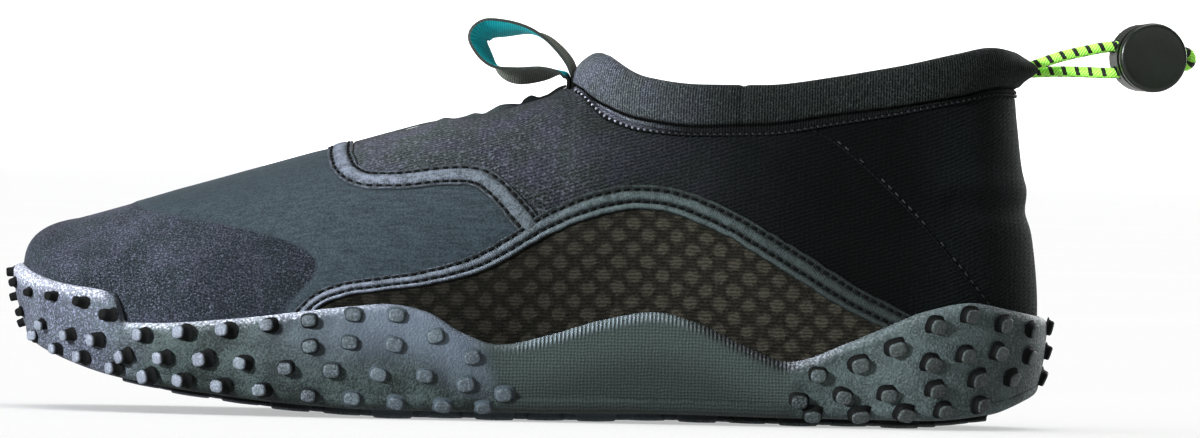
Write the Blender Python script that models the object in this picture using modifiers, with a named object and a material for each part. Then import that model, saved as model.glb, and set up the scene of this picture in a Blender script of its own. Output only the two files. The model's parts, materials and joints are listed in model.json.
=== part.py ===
"""Low neoprene water shoe for the left foot: sole, insole, upper, collar band, pull loop, drawcord and lock.

The toe points to -X, the heel to +X, the outer (lateral) side to -Y, and the shoe stands on Z = 0.
All sizes below are millimetres; MM turns them into metres when a mesh is made.
"""
import math
from collections import namedtuple

import bmesh
import bpy
from mathutils import Matrix, Vector

MM = 0.001
GAP = 0.3
WELD = 0.02
CUT_PAST = 5.0
SHARP_ANGLE = 40.0
LATERAL = -1
MEDIAL = 1

# Steps of the numeric work: along the ribs, along x, and halvings of a search
RIB_STEP = 0.004
X_STEP = 2.0
HALVINGS = 30

# Driving sizes of the last
TOE_X = -133.0
HEEL_X = 133.0
TOE_ROUND = 43.0
HEEL_ROUND = 34.0
TOE_ROUND_SHARE = 0.228
HEEL_ROUND_SHARE = 0.167
COLLAR_FRONT_X = 8.5
COLLAR_BACK_X = 128.3
COLLAR_FRONT_ROUND = 60.0
COLLAR_BACK_ROUND = 30.0
COLLAR_HALF_WIDTH = 28.0
UPPER_WALL = 2.6

# Fineness: ribs in front of the collar and behind its front, levels on the sole wall and above it
RIBS_FRONT = 25
RIBS_BACK = 22
WALL_LEVELS = 3
RISE_LEVELS = 5

# Sole sizes; edge levels are shares of the round, and the wall's thickness goes from its foot to its top
BASE_THICK = 4.2
EDGE_ROUND = 3.5
EDGE_LEVELS = [0.4, 0.0]
WALL_THICK = [3.2, 3.0, 2.7, 1.7]
INSOLE_THICK = 3.5
LUG_PITCH = 17.0
LUG_FIRST_X = -119.0
LUG_ROW_STEP = 13.6
LUG_HALF = 5.2
LUG_FOOT = 1.15 * LUG_HALF
LUG_HEIGHT = 2.3
LUG_EDGE = 7.5
STUD_HALF = 2.5
STUD_FOOT = 1.2 * STUD_HALF
STUD_HEIGHT = 2.4
STUD_SINK = 0.8

# Collar band: how far it stands proud of the upper, its thickness, and the roundness of its section
BAND_PROUD = 1.3
BAND_THICK = 5.6
BAND_SIDES = 10
BAND_SQUARE = 0.7

# Pull loop
LOOP_Y = 0.5
LOOP_WIDTH = 10.0
LOOP_THICK = 1.0
LOOP_STEP = 4.0
LOOP_SLANT = Vector((0.45, 0.78, -0.42))

# Cord lock: centre of its frame, turn about Z, and depths along the line out of its face
LOCK_CENTRE = Vector((163.6, 0.8, 101.2))
LOCK_TURN = 13.0
LOCK_RADIUS = 9.1
LOCK_SIDES = 32
LOCK_STRAND_DEPTH = -0.6
CUP_BACK = -4.6
CUP_FRONT = 3.2
CUP_FLOOR = 1.2
PRONG_RADIUS = 7.5
FORK_HALF = 5.8
HEAD_PROUD = 0.25
HEAD_THICK = 2.7
BUTTON_TRAVEL = 2.2
HOLE_RADIUS = 1.9
HOLE_SIDES = 12

# Drawcord: strands above (1) and below (-1), heights in the lock's frame where they enter and leave it
CORD_DIAMETER = 3.0
STRAND_IN = {1: 2.9, -1: -4.3}
STRAND_OUT = 1.8
STRAND_END = 9.8
STRAND_FREE = {
    1: [(134.6, -1.4, 98.9), (140.0, -1.4, 100.9), (147.5, -1.1, 102.8)],
    -1: [(134.6, 1.4, 96.7), (140.0, 1.2, 97.0), (147.5, 0.4, 97.0)],
}
BIGHT_LEG = 0.6
BIGHT_STEPS = 8

# Plan of the last: middle line and half widths at the foot of the wall, with the height of the cup floor
Plan = namedtuple("Plan", "x swing lateral medial floor")
PLAN = [
    Plan(-138, 10.0, 42.0, 35.0, 25.5),
    Plan(-128, 9.4, 43.0, 35.5, 19.6),
    Plan(-110, 8.0, 43.0, 36.0, 13.6),
    Plan(-90, 6.5, 44.0, 37.5, 10.4),
    Plan(-65, 4.5, 46.5, 40.0, 7.9),
    Plan(-42, 2.5, 46.0, 40.0, 6.8),
    Plan(0, 0.5, 40.0, 32.0, 6.8),
    Plan(35, 0.0, 35.0, 28.0, 7.2),
    Plan(70, 0.0, 32.5, 30.0, 6.8),
    Plan(104, 0.0, 31.0, 31.0, 6.8),
    Plan(122, 0.0, 31.0, 31.0, 8.6),
    Plan(134, 0.0, 31.0, 31.0, 13.5),
]

# Shape of the ribs: place of the top, and handles at the foot (bulge, rise) and at the top (shoulder, drop)
Rib = namedtuple("Rib", "x top_x bulge rise shoulder drop")
RIB = [
    Rib(-133, -124.0, 9.0, 20, 14.0, 0.0),
    Rib(-124, -124.0, 9.0, 18, 18.0, 0.0),
    Rib(-110, -110.0, 9.0, 17, 24.0, 0.0),
    Rib(-90, -90.0, 10.0, 20, 28.0, 0.0),
    Rib(-60, -60.0, 10.0, 28, 30.0, 0.5),
    Rib(-40, -39.0, 9.0, 32, 29.0, 1.0),
    Rib(-15, -12.5, 8.0, 34, 26.0, 1.5),
    Rib(4, 8.5, 7.0, 35, 24.0, 2.0),
    Rib(9, 10.2, 7.0, 35, 20.5, 4.0),
    Rib(15, 14.0, 7.0, 35, 17.0, 7.0),
    Rib(21, 19.5, 7.0, 34, 14.0, 11.0),
    Rib(28, 26.7, 7.0, 33, 11.0, 15.5),
    Rib(45, 44.0, 7.0, 30, 7.5, 23.0),
    Rib(70, 70.0, 7.0, 28, 5.0, 28.0),
    Rib(99, 98.3, 7.0, 25, 3.5, 29.0),
    Rib(133, 128.3, 7.5, 23, 1.7, 29.0),
]

# Side view of the top edge: instep ridge up to the collar, then the seam under the collar band
Profile = namedtuple("Profile", "x z")
TOP_LINE = [
    Profile(-124, 51.4), Profile(-108, 56.2), Profile(-75, 66.2), Profile(-43, 75.7), Profile(-11, 84.9),
    Profile(8.5, 90.2), Profile(16, 85.4), Profile(27, 80.8), Profile(43, 78.7), Profile(60, 79.1),
    Profile(78, 82.0), Profile(97, 85.6), Profile(113, 89.2), Profile(124, 91.5), Profile(128.3, 91.2),
]

# Side view of the sole wall's top edge, a wave with a raised toe bumper
WALL_TOP = [
    Profile(-140, 39.5), Profile(-137, 37.4), Profile(-128, 34.4), Profile(-116, 31.8), Profile(-112, 28.2),
    Profile(-108, 24.2), Profile(-101, 24.0), Profile(-77, 26.5), Profile(-50, 29.5), Profile(-38, 30.3),
    Profile(-29, 28.6), Profile(-18, 23.3), Profile(-9, 20.2), Profile(4, 23.2), Profile(18, 27.4),
    Profile(32, 30.1), Profile(45, 27.3), Profile(56, 22.5), Profile(69, 18.2), Profile(85, 24.2),
    Profile(104, 31.4), Profile(117, 33.6), Profile(127, 32.4), Profile(136, 30.5),
]

# Rows of studs on the sole wall: ends in the side view, count, and shares of the wall's height at the ends
StudRow = namedtuple("StudRow", "first_x last_x count first_share last_share")
STUD_ROWS = [
    StudRow(-135.0, -70.6, 8, 0.73, 0.86),
    StudRow(-136.5, -66.3, 9, 0.36, 0.47),
    StudRow(-60.4, -16.3, 5, 0.90, 0.76),
    StudRow(-59.1, -37.2, 3, 0.64, 0.64),
    StudRow(-53.6, -7.2, 5, 0.38, 0.36),
    StudRow(76.2, 134.1, 7, 0.68, 0.88),
    StudRow(105.1, 123.4, 3, 0.55, 0.61),
    StudRow(71.2, 95.0, 3, 0.37, 0.33),
    StudRow(107.7, 130.6, 3, 0.32, 0.36),
]
TOE_STUD_SHARES = [0.3, 0.75]
HEEL_STUD_SHARES = [0.27, 0.58, 0.88]

# Collar band along the collar: height, inward lean of its top, and bulge of the spout at the heel
Band = namedtuple("Band", "x height lean spout")
BAND = [
    Band(8.5, 8.4, 5.0, 0.0),
    Band(12, 10.6, 4.0, 0.0),
    Band(16, 12.6, 3.0, 0.0),
    Band(27, 12.2, 1.5, 0.0),
    Band(43, 12.3, 1.0, 0.0),
    Band(78, 11.8, 0.8, 0.0),
    Band(113, 11.8, 0.4, 0.0),
    Band(120, 11.6, 0.2, 0.2),
    Band(125, 11.2, 0.0, 1.6),
    Band(128.3, 10.8, 0.0, 4.5),
]

# Side view of the pull loop's ribbon, from its lower end at the collar round to its upper end
LOOP = [
    Profile(8.0, 92.5), Profile(0.0, 93.0), Profile(-6.5, 92.9), Profile(-11.5, 94.6), Profile(-15.5, 99.0),
    Profile(-17.2, 103.0), Profile(-14.8, 105.9), Profile(-10.0, 106.4), Profile(-4.0, 105.9),
    Profile(0.5, 103.8), Profile(4.5, 99.4), Profile(9.4, 95.6),
]


def smooth(rows, column, x):
    """Monotone cubic through the rows' values of one column, read at x."""
    if x <= rows[0].x:
        return getattr(rows[0], column)
    if x >= rows[-1].x:
        return getattr(rows[-1], column)
    xs = [row.x for row in rows]
    ys = [getattr(row, column) for row in rows]
    slopes = [(ys[i + 1] - ys[i]) / (xs[i + 1] - xs[i]) for i in range(len(xs) - 1)]
    i = max(k for k in range(len(slopes)) if xs[k] <= x)

    def tangent(k):
        if k == 0 or k == len(slopes):
            return slopes[min(k, len(slopes) - 1)]
        before, after = slopes[k - 1], slopes[k]
        if before * after <= 0:
            return 0.0
        return 2 * before * after / (before + after)

    span = xs[i + 1] - xs[i]
    t = (x - xs[i]) / span
    rise = ys[i + 1] - ys[i]
    start, end = tangent(i) * span, tangent(i + 1) * span
    return ys[i] + t * start + t * t * (3 * rise - 2 * start - end) + t ** 3 * (start + end - 2 * rise)


def slope_of(rows, column, x):
    """Rise of one column for each unit of x."""
    return (smooth(rows, column, x + X_STEP) - smooth(rows, column, x - X_STEP)) / (2 * X_STEP)


def cap(distance, length):
    """Share of the full width near a round end: 0 at the end, 1 from one length on."""
    if distance >= length:
        return 1.0
    return math.sqrt(max(0.0, 1 - (1 - distance / length) ** 2))


def foot_x(p):
    """Place along the foot of rib p, from 0 at the toe to 1 at the heel, evenly spaced round the ends."""
    toe_end, heel_start = TOE_X + TOE_ROUND, HEEL_X - HEEL_ROUND
    if p < TOE_ROUND_SHARE:
        return TOE_X + TOE_ROUND * (1 - math.cos(math.pi / 2 * p / TOE_ROUND_SHARE))
    if p > 1 - HEEL_ROUND_SHARE:
        return HEEL_X - HEEL_ROUND * (1 - math.cos(math.pi / 2 * (1 - p) / HEEL_ROUND_SHARE))
    share = (p - TOE_ROUND_SHARE) / (1 - TOE_ROUND_SHARE - HEEL_ROUND_SHARE)
    return toe_end + share * (heel_start - toe_end)


def outline(p, side):
    """Foot of rib p on the plan, as x and y."""
    x = foot_x(p)
    width = smooth(PLAN, "lateral" if side == LATERAL else "medial", x)
    width *= cap(x - TOE_X, TOE_ROUND) * cap(HEEL_X - x, HEEL_ROUND)
    return Vector((x, smooth(PLAN, "swing", x) + side * width, 0))


def outward(p, side):
    """Level direction that points away from the foot at rib p."""
    low, high = p - RIB_STEP, p + RIB_STEP
    before = outline(low, side) if low > 0 else outline(-low, -side)
    after = outline(high, side) if high < 1 else outline(2 - high, -side)
    along = after - before
    return Vector((along.y * side, -along.x * side, 0)).normalized() * -1


def rib_top(p, side):
    """Upper end of rib p: on the instep ridge, or on the collar seam behind it."""
    x = smooth(RIB, "top_x", foot_x(p))
    y = smooth(PLAN, "swing", x)
    if x > COLLAR_FRONT_X:
        ends = cap(x - COLLAR_FRONT_X, COLLAR_FRONT_ROUND) * cap(COLLAR_BACK_X - x, COLLAR_BACK_ROUND)
        y += side * COLLAR_HALF_WIDTH * ends
    return Vector((x, y, smooth(TOP_LINE, "z", x)))


def hull(p, side, h):
    """Outer surface of the upper: rib p on one side, at h from 0 at the cup floor to 1 at its top."""
    x = foot_x(p)
    foot = outline(p, side)
    foot.z = smooth(PLAN, "floor", x)
    top = rib_top(p, side)
    out = outward(p, side)
    low_handle = foot + out * smooth(RIB, "bulge", x) + Vector((0, 0, smooth(RIB, "rise", x)))
    reach = out * smooth(RIB, "shoulder", x)
    ridge_slope = 0.0
    if top.x < COLLAR_FRONT_X:
        ridge_slope = slope_of(TOP_LINE, "z", top.x)
    high_handle = top + reach + Vector((0, 0, reach.x * ridge_slope - smooth(RIB, "drop", x)))
    k = 1 - h
    return foot * k ** 3 + low_handle * (3 * k * k * h) + high_handle * (3 * k * h * h) + top * h ** 3


def hull_normal(p, side, h):
    """Unit normal of the hull, pointing out of the shoe."""
    up = hull(p, side, min(1, h + RIB_STEP)) - hull(p, side, max(0, h - RIB_STEP))
    if p < RIB_STEP or p > 1 - RIB_STEP:
        along = Vector((0, side if p < RIB_STEP else -side, 0))
    else:
        along = hull(p + RIB_STEP, side, h) - hull(p - RIB_STEP, side, h)
    return along.cross(up).normalized() * -side


def offset_hull(p, side, h, distance):
    return hull(p, side, h) + hull_normal(p, side, h) * distance


def wall_share(p, side):
    """Value of h where rib p crosses the top edge of the sole wall."""
    low, high = 0.0, 1.0
    for _ in range(HALVINGS):
        middle = (low + high) / 2
        point = hull(p, side, middle)
        if point.z < smooth(WALL_TOP, "z", point.x):
            low = middle
        else:
            high = middle
    return low


def rib_list():
    """Ribs from toe to heel, with one exactly at the front of the collar."""
    toe_end, heel_start = TOE_X + TOE_ROUND, HEEL_X - HEEL_ROUND
    front_foot = next(row.x for row in RIB if row.top_x == COLLAR_FRONT_X)
    middle_share = 1 - TOE_ROUND_SHARE - HEEL_ROUND_SHARE
    front = TOE_ROUND_SHARE + (front_foot - toe_end) / (heel_start - toe_end) * middle_share
    ribs = [front * i / RIBS_FRONT for i in range(RIBS_FRONT)]
    return ribs + [front + (1 - front) * i / RIBS_BACK for i in range(RIBS_BACK + 1)]


def new_object(name, mesh, look):
    """Puts a mesh in the part's collection with its material."""
    obj = bpy.data.objects.new(name, mesh)
    mesh.materials.append(look)
    PARTS.objects.link(obj)
    return obj


def new_cutter(name, mesh):
    """Puts a mesh that only cuts or joins another in the cutters' collection."""
    obj = bpy.data.objects.new(name, mesh)
    obj.hide_render = True
    obj.display_type = "WIRE"
    CUTTERS.objects.link(obj)
    return obj


def boolean(obj, operation, tool):
    step = obj.modifiers.new(tool.name, "BOOLEAN")
    step.operation = operation
    step.solver = "EXACT"
    step.object = tool


def finish_mesh(name, bm):
    """Welds a bmesh, turns its faces outwards and makes a mesh in metres."""
    bmesh.ops.remove_doubles(bm, verts=bm.verts, dist=WELD)
    bmesh.ops.recalc_face_normals(bm, faces=bm.faces)
    bmesh.ops.scale(bm, vec=(MM, MM, MM), verts=bm.verts)
    mesh = bpy.data.meshes.new(name)
    bm.to_mesh(mesh)
    bm.free()
    mesh.shade_smooth()
    mesh.set_sharp_from_angle(angle=math.radians(SHARP_ANGLE))
    return mesh


def material(name, colour, roughness, metallic=0.0):
    look = bpy.data.materials.new(name)
    look.use_nodes = True
    shader = look.node_tree.nodes["Principled BSDF"]
    shader.inputs["Base Color"].default_value = (*colour, 1)
    shader.inputs["Roughness"].default_value = roughness
    shader.inputs["Metallic"].default_value = metallic
    return look


def bridge(bm, column_a, column_b):
    """Triangles between two columns of vertices, always split along the same diagonal."""
    for low_a, high_a, low_b, high_b in zip(column_a, column_a[1:], column_b, column_b[1:]):
        bm.faces.new((low_a, high_a, high_b))
        bm.faces.new((low_a, high_b, low_b))


def loft_sides(profile, ribs, filled):
    """Surface through one profile a rib on both sides, filled across at its two ends if asked."""
    bm = bmesh.new()
    columns = {side: [[bm.verts.new(point) for point in profile(p, side)] for p in ribs]
               for side in (LATERAL, MEDIAL)}
    for side in (LATERAL, MEDIAL):
        for a, b in zip(columns[side], columns[side][1:]):
            bridge(bm, a, b)
    if filled:
        for end in (0, -1):
            lateral = [column[end] for column in columns[LATERAL]]
            medial = [column[end] for column in columns[MEDIAL]]
            bridge(bm, lateral, medial)
    return bm


def upper_levels(p, side):
    """Heights on a rib shared by the upper and the sole wall, then on to the top."""
    share = wall_share(p, side)
    low = [share * i / WALL_LEVELS for i in range(WALL_LEVELS + 1)]
    return low + [share + (1 - share) * i / RISE_LEVELS for i in range(1, RISE_LEVELS + 1)]


def make_upper(ribs):
    """Open hull surface, thickened inwards to the neoprene wall."""
    def profile(p, side):
        return [hull(p, side, h) for h in upper_levels(p, side)]

    mesh = finish_mesh("upper", loft_sides(profile, ribs, filled=False))
    obj = new_object("upper", mesh, material("neoprene", (0.035, 0.036, 0.040), 0.75))
    wall = obj.modifiers.new("wall", "SOLIDIFY")
    wall.thickness = UPPER_WALL * MM
    wall.offset = -1
    wall.use_even_offset = True


def foot_point(p, side, out, down):
    """Point beside the foot of a rib, moved level outwards and straight down."""
    return hull(p, side, 0) + outward(p, side) * out - Vector((0, 0, down))


def edge_point(p, side, depth):
    """Outer face of the sole below the cup floor, which turns under at the bottom edge, with its normal."""
    turn = max(0.0, depth - (GAP + BASE_THICK - EDGE_ROUND)) / EDGE_ROUND
    inset = EDGE_ROUND * (1 - math.sqrt(max(0.0, 1 - turn * turn)))
    out = outward(p, side)
    point = foot_point(p, side, GAP + WALL_THICK[0] - inset, depth)
    return point, (out * math.sqrt(max(0.0, 1 - turn * turn)) - Vector((0, 0, turn))).normalized()


def wall_point(p, side, h, level):
    """Outer face of the sole wall at h on a rib; level counts the wall's thickness table."""
    row = min(int(level), WALL_LEVELS - 1)
    thick = WALL_THICK[row] + (WALL_THICK[row + 1] - WALL_THICK[row]) * (level - row)
    return offset_hull(p, side, h, GAP + thick)


def sole_face(p, side, share):
    """Point and normal on the sole's outer face at a share of its height, from its bottom to its top edge."""
    floor = hull(p, side, 0).z
    top_h = wall_share(p, side)
    top = hull(p, side, top_h).z
    bottom = floor - GAP - BASE_THICK
    z = bottom + share * (top - bottom)
    if z < floor:
        return edge_point(p, side, floor - z)
    part = (z - floor) / (top - floor)
    return wall_point(p, side, top_h * part, part * WALL_LEVELS), hull_normal(p, side, top_h * part)


def make_outsole(ribs):
    """Cup sole: floor, wall round the upper, rounded bottom edge, studs on the wall and lugs underneath."""
    depth = GAP + BASE_THICK

    def profile(p, side):
        levels = upper_levels(p, side)[:WALL_LEVELS + 1]
        inside = [foot_point(p, side, GAP, GAP)] + [offset_hull(p, side, h, GAP) for h in levels]
        outside = [wall_point(p, side, h, level) for level, h in enumerate(levels)]
        under = [edge_point(p, side, depth - EDGE_ROUND * rise)[0] for rise in EDGE_LEVELS]
        return inside + outside[::-1] + under

    mesh = finish_mesh("outsole", loft_sides(profile, ribs, filled=True))
    obj = new_object("outsole", mesh, material("rubber", (0.075, 0.095, 0.090), 0.6))
    boolean(obj, "UNION", new_cutter("ground_lugs", make_lugs()))
    boolean(obj, "UNION", new_cutter("wall_studs", make_studs()))


def add_block(bm, place, half_foot, half_tip, height):
    """Four-sided stud along its own +Z, from just inside its carrier to its flat tip."""
    bmesh.ops.create_cone(bm, cap_ends=True, segments=4, radius1=half_foot, radius2=half_tip, depth=height,
                          matrix=place @ Matrix.Translation((0, 0, height / 2 - STUD_SINK)))


def aim(point, direction):
    """Frame at a point whose +Z follows a direction."""
    return Matrix.Translation(point) @ direction.to_track_quat("Z", "Y").to_matrix().to_4x4()


def make_lugs():
    """Ground lugs in staggered rows under the base, all ending on the floor where the sole is flat."""
    bm = bmesh.new()
    rows = int((HEEL_X - LUG_EDGE - LUG_FIRST_X) / LUG_ROW_STEP) + 1
    for row in range(rows):
        x = LUG_FIRST_X + row * LUG_ROW_STEP
        base = smooth(PLAN, "floor", x) - GAP - BASE_THICK
        slope = slope_of(PLAN, "floor", x)
        ends = cap(x - TOE_X, TOE_ROUND) * cap(HEEL_X - x, HEEL_ROUND)
        middle = smooth(PLAN, "swing", x)
        low = middle - smooth(PLAN, "lateral", x) * ends + LUG_EDGE
        high = middle + smooth(PLAN, "medial", x) * ends - LUG_EDGE
        count = int((high - low) / LUG_PITCH)
        start = (low + high) / 2 - LUG_PITCH * (count - row % 2) / 2
        for i in range(count + 1 - row % 2):
            place = aim(Vector((x, start + i * LUG_PITCH, base)), Vector((slope, 0, -1)))
            height = LUG_HEIGHT - LUG_HALF * abs(slope)
            add_block(bm, place, LUG_FOOT, LUG_HALF, height + STUD_SINK)
    return finish_mesh("ground_lugs", bm)


def rib_at(x, side, share):
    """Rib whose sole wall passes a place along the shoe at a share of its height."""
    low, high = 0.0, 1.0
    for _ in range(HALVINGS):
        middle = (low + high) / 2
        if sole_face(middle, side, share)[0].x < x:
            low = middle
        else:
            high = middle
    return low


def make_studs():
    """Studs in rows along the wall, on both sides, with one column at the toe and one at the heel."""
    bm = bmesh.new()
    spots = [(0.0, LATERAL, share) for share in TOE_STUD_SHARES]
    spots += [(1.0, LATERAL, share) for share in HEEL_STUD_SHARES]
    for row in STUD_ROWS:
        first = rib_at(row.first_x, LATERAL, row.first_share)
        last = rib_at(row.last_x, LATERAL, row.last_share)
        for i in range(row.count):
            part = i / (row.count - 1)
            share = row.first_share + (row.last_share - row.first_share) * part
            spots += [(first + (last - first) * part, side, share) for side in (LATERAL, MEDIAL)]
    for p, side, share in spots:
        point, normal = sole_face(p, side, share)
        add_block(bm, aim(point, normal), STUD_FOOT, STUD_HALF, STUD_HEIGHT + STUD_SINK)
    return finish_mesh("wall_studs", bm)


def make_insole(ribs):
    """Foam sheet on the cup floor, clear of the upper's inner face."""
    inset = UPPER_WALL + 2 * GAP

    def profile(p, side):
        return [foot_point(p, side, -inset, 0), foot_point(p, side, -inset, -INSOLE_THICK)]

    mesh = finish_mesh("insole", loft_sides(profile, ribs, filled=True))
    new_object("insole", mesh, material("foam", (0.03, 0.03, 0.032), 0.9))


def collar_out(p, side):
    """Level direction that points out of the collar at the top of rib p."""
    if p > 1 - RIB_STEP:
        return Vector((1, 0, 0))
    along = rib_top(p + RIB_STEP, side) - rib_top(p, side)
    return Vector((along.y * side, -along.x * side, 0)).normalized() * -1


def band_section(p, side):
    """Rounded section of the collar band, standing on the collar edge at rib p."""
    seat = rib_top(p, side)
    out = Vector((-1, 0, 0)) if seat.x <= COLLAR_FRONT_X + WELD else collar_out(p, side)
    height = smooth(BAND, "height", seat.x)
    lean = smooth(BAND, "lean", seat.x)
    spout = smooth(BAND, "spout", seat.x)
    points = []
    for i in range(BAND_SIDES):
        turn = 2 * math.pi * i / BAND_SIDES
        across = math.copysign(abs(math.cos(turn)) ** BAND_SQUARE, math.cos(turn))
        up = (math.copysign(abs(math.sin(turn)) ** BAND_SQUARE, math.sin(turn)) + 1) / 2
        offset = BAND_PROUD - BAND_THICK * (1 - across) / 2 - lean * up
        offset += spout * max(0, across) * math.sin(math.pi * up)
        points.append(seat + out * offset + Vector((0, 0, GAP + height * up)))
    return points


def make_collar_band(ribs):
    """Padded ring on the collar edge, with a small spout at the heel."""
    bm = bmesh.new()
    back = [p for p in ribs if rib_top(p, LATERAL).x >= COLLAR_FRONT_X - WELD]
    loop = [(p, LATERAL) for p in back] + [(p, MEDIAL) for p in reversed(back[1:-1])]
    rings = [[bm.verts.new(point) for point in band_section(p, side)] for p, side in loop]
    for a, b in zip(rings, rings[1:] + rings[:1]):
        bridge(bm, a + a[:1], b + b[:1])
    look = material("band_neoprene", (0.04, 0.04, 0.044), 0.8)
    new_object("collar_band", finish_mesh("collar_band", bm), look)


def curve_through(points, step):
    """Points about one step apart on a smooth curve through the given points."""
    points = [Vector(point) for point in points]
    padded = [2 * points[0] - points[1]] + points + [2 * points[-1] - points[-2]]
    out = []
    for a, b, c, d in zip(padded, padded[1:], padded[2:], padded[3:]):
        pieces = max(1, round((c - b).length / step))
        for i in range(pieces):
            t = i / pieces
            out.append(0.5 * (2 * b + (c - a) * t + (2 * a - 5 * b + 4 * c - d) * t * t
                              + (3 * b - a - 3 * c + d) * t ** 3))
    return out + [points[-1]]


def make_pull_loop():
    """Ribbon folded to a loop; its width turns from straight across at the collar to slanted at the tip."""
    bm = bmesh.new()
    route = curve_through([(row.x, LOOP_Y, row.z) for row in LOOP], LOOP_STEP)
    sections = []
    for i, point in enumerate(route):
        along = route[min(i + 1, len(route) - 1)] - route[max(i - 1, 0)]
        share = (LOOP[0].x - point.x) / (LOOP[0].x - min(row.x for row in LOOP))
        width = Vector((0, 1, 0)).lerp(LOOP_SLANT, max(0, min(1, share))).normalized()
        face = along.cross(width).normalized()
        across = face.cross(along).normalized()
        corners = [(-1, -1), (1, -1), (1, 1), (-1, 1)]
        sections.append([bm.verts.new(point + across * (a * LOOP_WIDTH / 2) + face * (b * LOOP_THICK / 2))
                         for a, b in corners])
    for a, b in zip(sections, sections[1:]):
        bridge(bm, a + a[:1], b + b[:1])
    bm.faces.new(sections[0])
    bm.faces.new(sections[-1])
    new_object("pull_loop", finish_mesh("pull_loop", bm), material("ribbon", (0.10, 0.11, 0.10), 0.7))


def lock_frame():
    """Frame of the cord lock: +X along the strands, +Z up, and -Y out of the button's face."""
    return Matrix.Translation(LOCK_CENTRE) @ Matrix.Rotation(math.radians(LOCK_TURN), 4, "Z")


def strand_route(sign):
    """Hand-set points of one strand, from the collar's spout through the lock; sign is 1 above, -1 below."""
    inside = [Vector((-LOCK_RADIUS, -LOCK_STRAND_DEPTH, STRAND_IN[sign])),
              Vector((0, -LOCK_STRAND_DEPTH, (STRAND_IN[sign] + sign * STRAND_OUT) / 2)),
              Vector((STRAND_END, -LOCK_STRAND_DEPTH, sign * STRAND_OUT))]
    place = lock_frame()
    return [Vector(point) for point in STRAND_FREE[sign]] + [place @ point for point in inside]


def tube(name, route, look):
    """Round cord along a route, as a curve with filled ends."""
    data = bpy.data.curves.new(name, "CURVE")
    data.dimensions = "3D"
    data.bevel_depth = CORD_DIAMETER / 2 * MM
    data.bevel_resolution = 2
    data.use_fill_caps = True
    spline = data.splines.new("POLY")
    spline.points.add(len(route) - 1)
    for spot, point in zip(spline.points, route):
        spot.co = (*(point * MM), 1)
    data.materials.append(look)
    PARTS.objects.link(bpy.data.objects.new(name, data))


def make_cord():
    """Two strands of the elastic drawcord and the folded end that joins them behind the lock."""
    look = material("elastic", (0.42, 0.85, 0.12), 0.6)
    for name, sign in (("cord_upper", 1), ("cord_lower", -1)):
        tube(name, curve_through(strand_route(sign), CORD_DIAMETER * 2), look)
    place = lock_frame()
    start = STRAND_END + 2 * GAP
    route = [Vector((start, -LOCK_STRAND_DEPTH, STRAND_OUT))]
    for i in range(BIGHT_STEPS + 1):
        turn = math.pi * i / BIGHT_STEPS
        route.append(Vector((start + BIGHT_LEG + STRAND_OUT * math.sin(turn), -LOCK_STRAND_DEPTH,
                             STRAND_OUT * math.cos(turn))))
    route.append(Vector((start, -LOCK_STRAND_DEPTH, -STRAND_OUT)))
    tube("cord_end", [place @ point for point in route], look)


def drum(radius, back, front):
    """Closed cylinder along the lock's face direction, from a back to a front depth, in the lock's frame."""
    bm = bmesh.new()
    place = Matrix.Translation((0, -(back + front) / 2, 0)) @ Matrix.Rotation(math.pi / 2, 4, "X")
    bmesh.ops.create_cone(bm, cap_ends=True, segments=LOCK_SIDES, radius1=radius, radius2=radius,
                          depth=front - back, matrix=place)
    return bm


def strand_hole(sign):
    """Clearance hole along one strand's straight run through the lock."""
    bm = bmesh.new()
    run = Vector((STRAND_END + LOCK_RADIUS, 0, sign * STRAND_OUT - STRAND_IN[sign]))
    ends = Vector((STRAND_END - LOCK_RADIUS, -2 * LOCK_STRAND_DEPTH, sign * STRAND_OUT + STRAND_IN[sign]))
    bmesh.ops.create_cone(bm, cap_ends=True, segments=HOLE_SIDES, radius1=HOLE_RADIUS, radius2=HOLE_RADIUS,
                          depth=LOCK_RADIUS * 4, matrix=aim(ends / 2, run))
    return bm


def make_lock():
    """Cord lock: a cup that both strands cross, and a push button whose prongs slide in the cup."""
    plastic = material("lock_plastic", (0.025, 0.027, 0.025), 0.5)
    carrier = bpy.data.objects.new("cord_lock", None)
    carrier.location = LOCK_CENTRE * MM
    carrier.rotation_euler.z = math.radians(LOCK_TURN)
    PARTS.objects.link(carrier)

    def piece(name, bm):
        obj = new_object(name, finish_mesh(name, bm), plastic)
        obj.parent = carrier
        return obj

    def cutter(name, bm):
        obj = new_cutter(name, finish_mesh(name, bm))
        obj.parent = carrier
        return obj

    body = piece("cord_lock_body", drum(LOCK_RADIUS, CUP_BACK, CUP_FRONT))
    bore = drum(PRONG_RADIUS + GAP, CUP_BACK + CUP_FLOOR, CUP_FRONT + CUT_PAST)
    boolean(body, "DIFFERENCE", cutter("cup_bore", bore))
    for name, sign in (("hole_upper", 1), ("hole_lower", -1)):
        boolean(body, "DIFFERENCE", cutter(name, strand_hole(sign)))

    head_back = CUP_FRONT + GAP + BUTTON_TRAVEL
    prong_tip = CUP_BACK + CUP_FLOOR + GAP + BUTTON_TRAVEL
    prongs = cutter("prongs", drum(PRONG_RADIUS, prong_tip, head_back + HEAD_THICK / 2))
    fork = bmesh.new()
    bmesh.ops.create_cube(fork, size=1)
    bmesh.ops.scale(fork, vec=(4 * LOCK_RADIUS, 4 * LOCK_RADIUS, 2 * FORK_HALF), verts=fork.verts)
    boolean(prongs, "DIFFERENCE", cutter("fork_slot", fork))
    button = piece("cord_lock_button", drum(LOCK_RADIUS + HEAD_PROUD, head_back, head_back + HEAD_THICK))
    boolean(button, "UNION", prongs)


def main():
    ribs = rib_list()
    make_outsole(ribs)
    make_insole(ribs)
    make_upper(ribs)
    make_collar_band(ribs)
    make_pull_loop()
    make_cord()
    make_lock()


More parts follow.
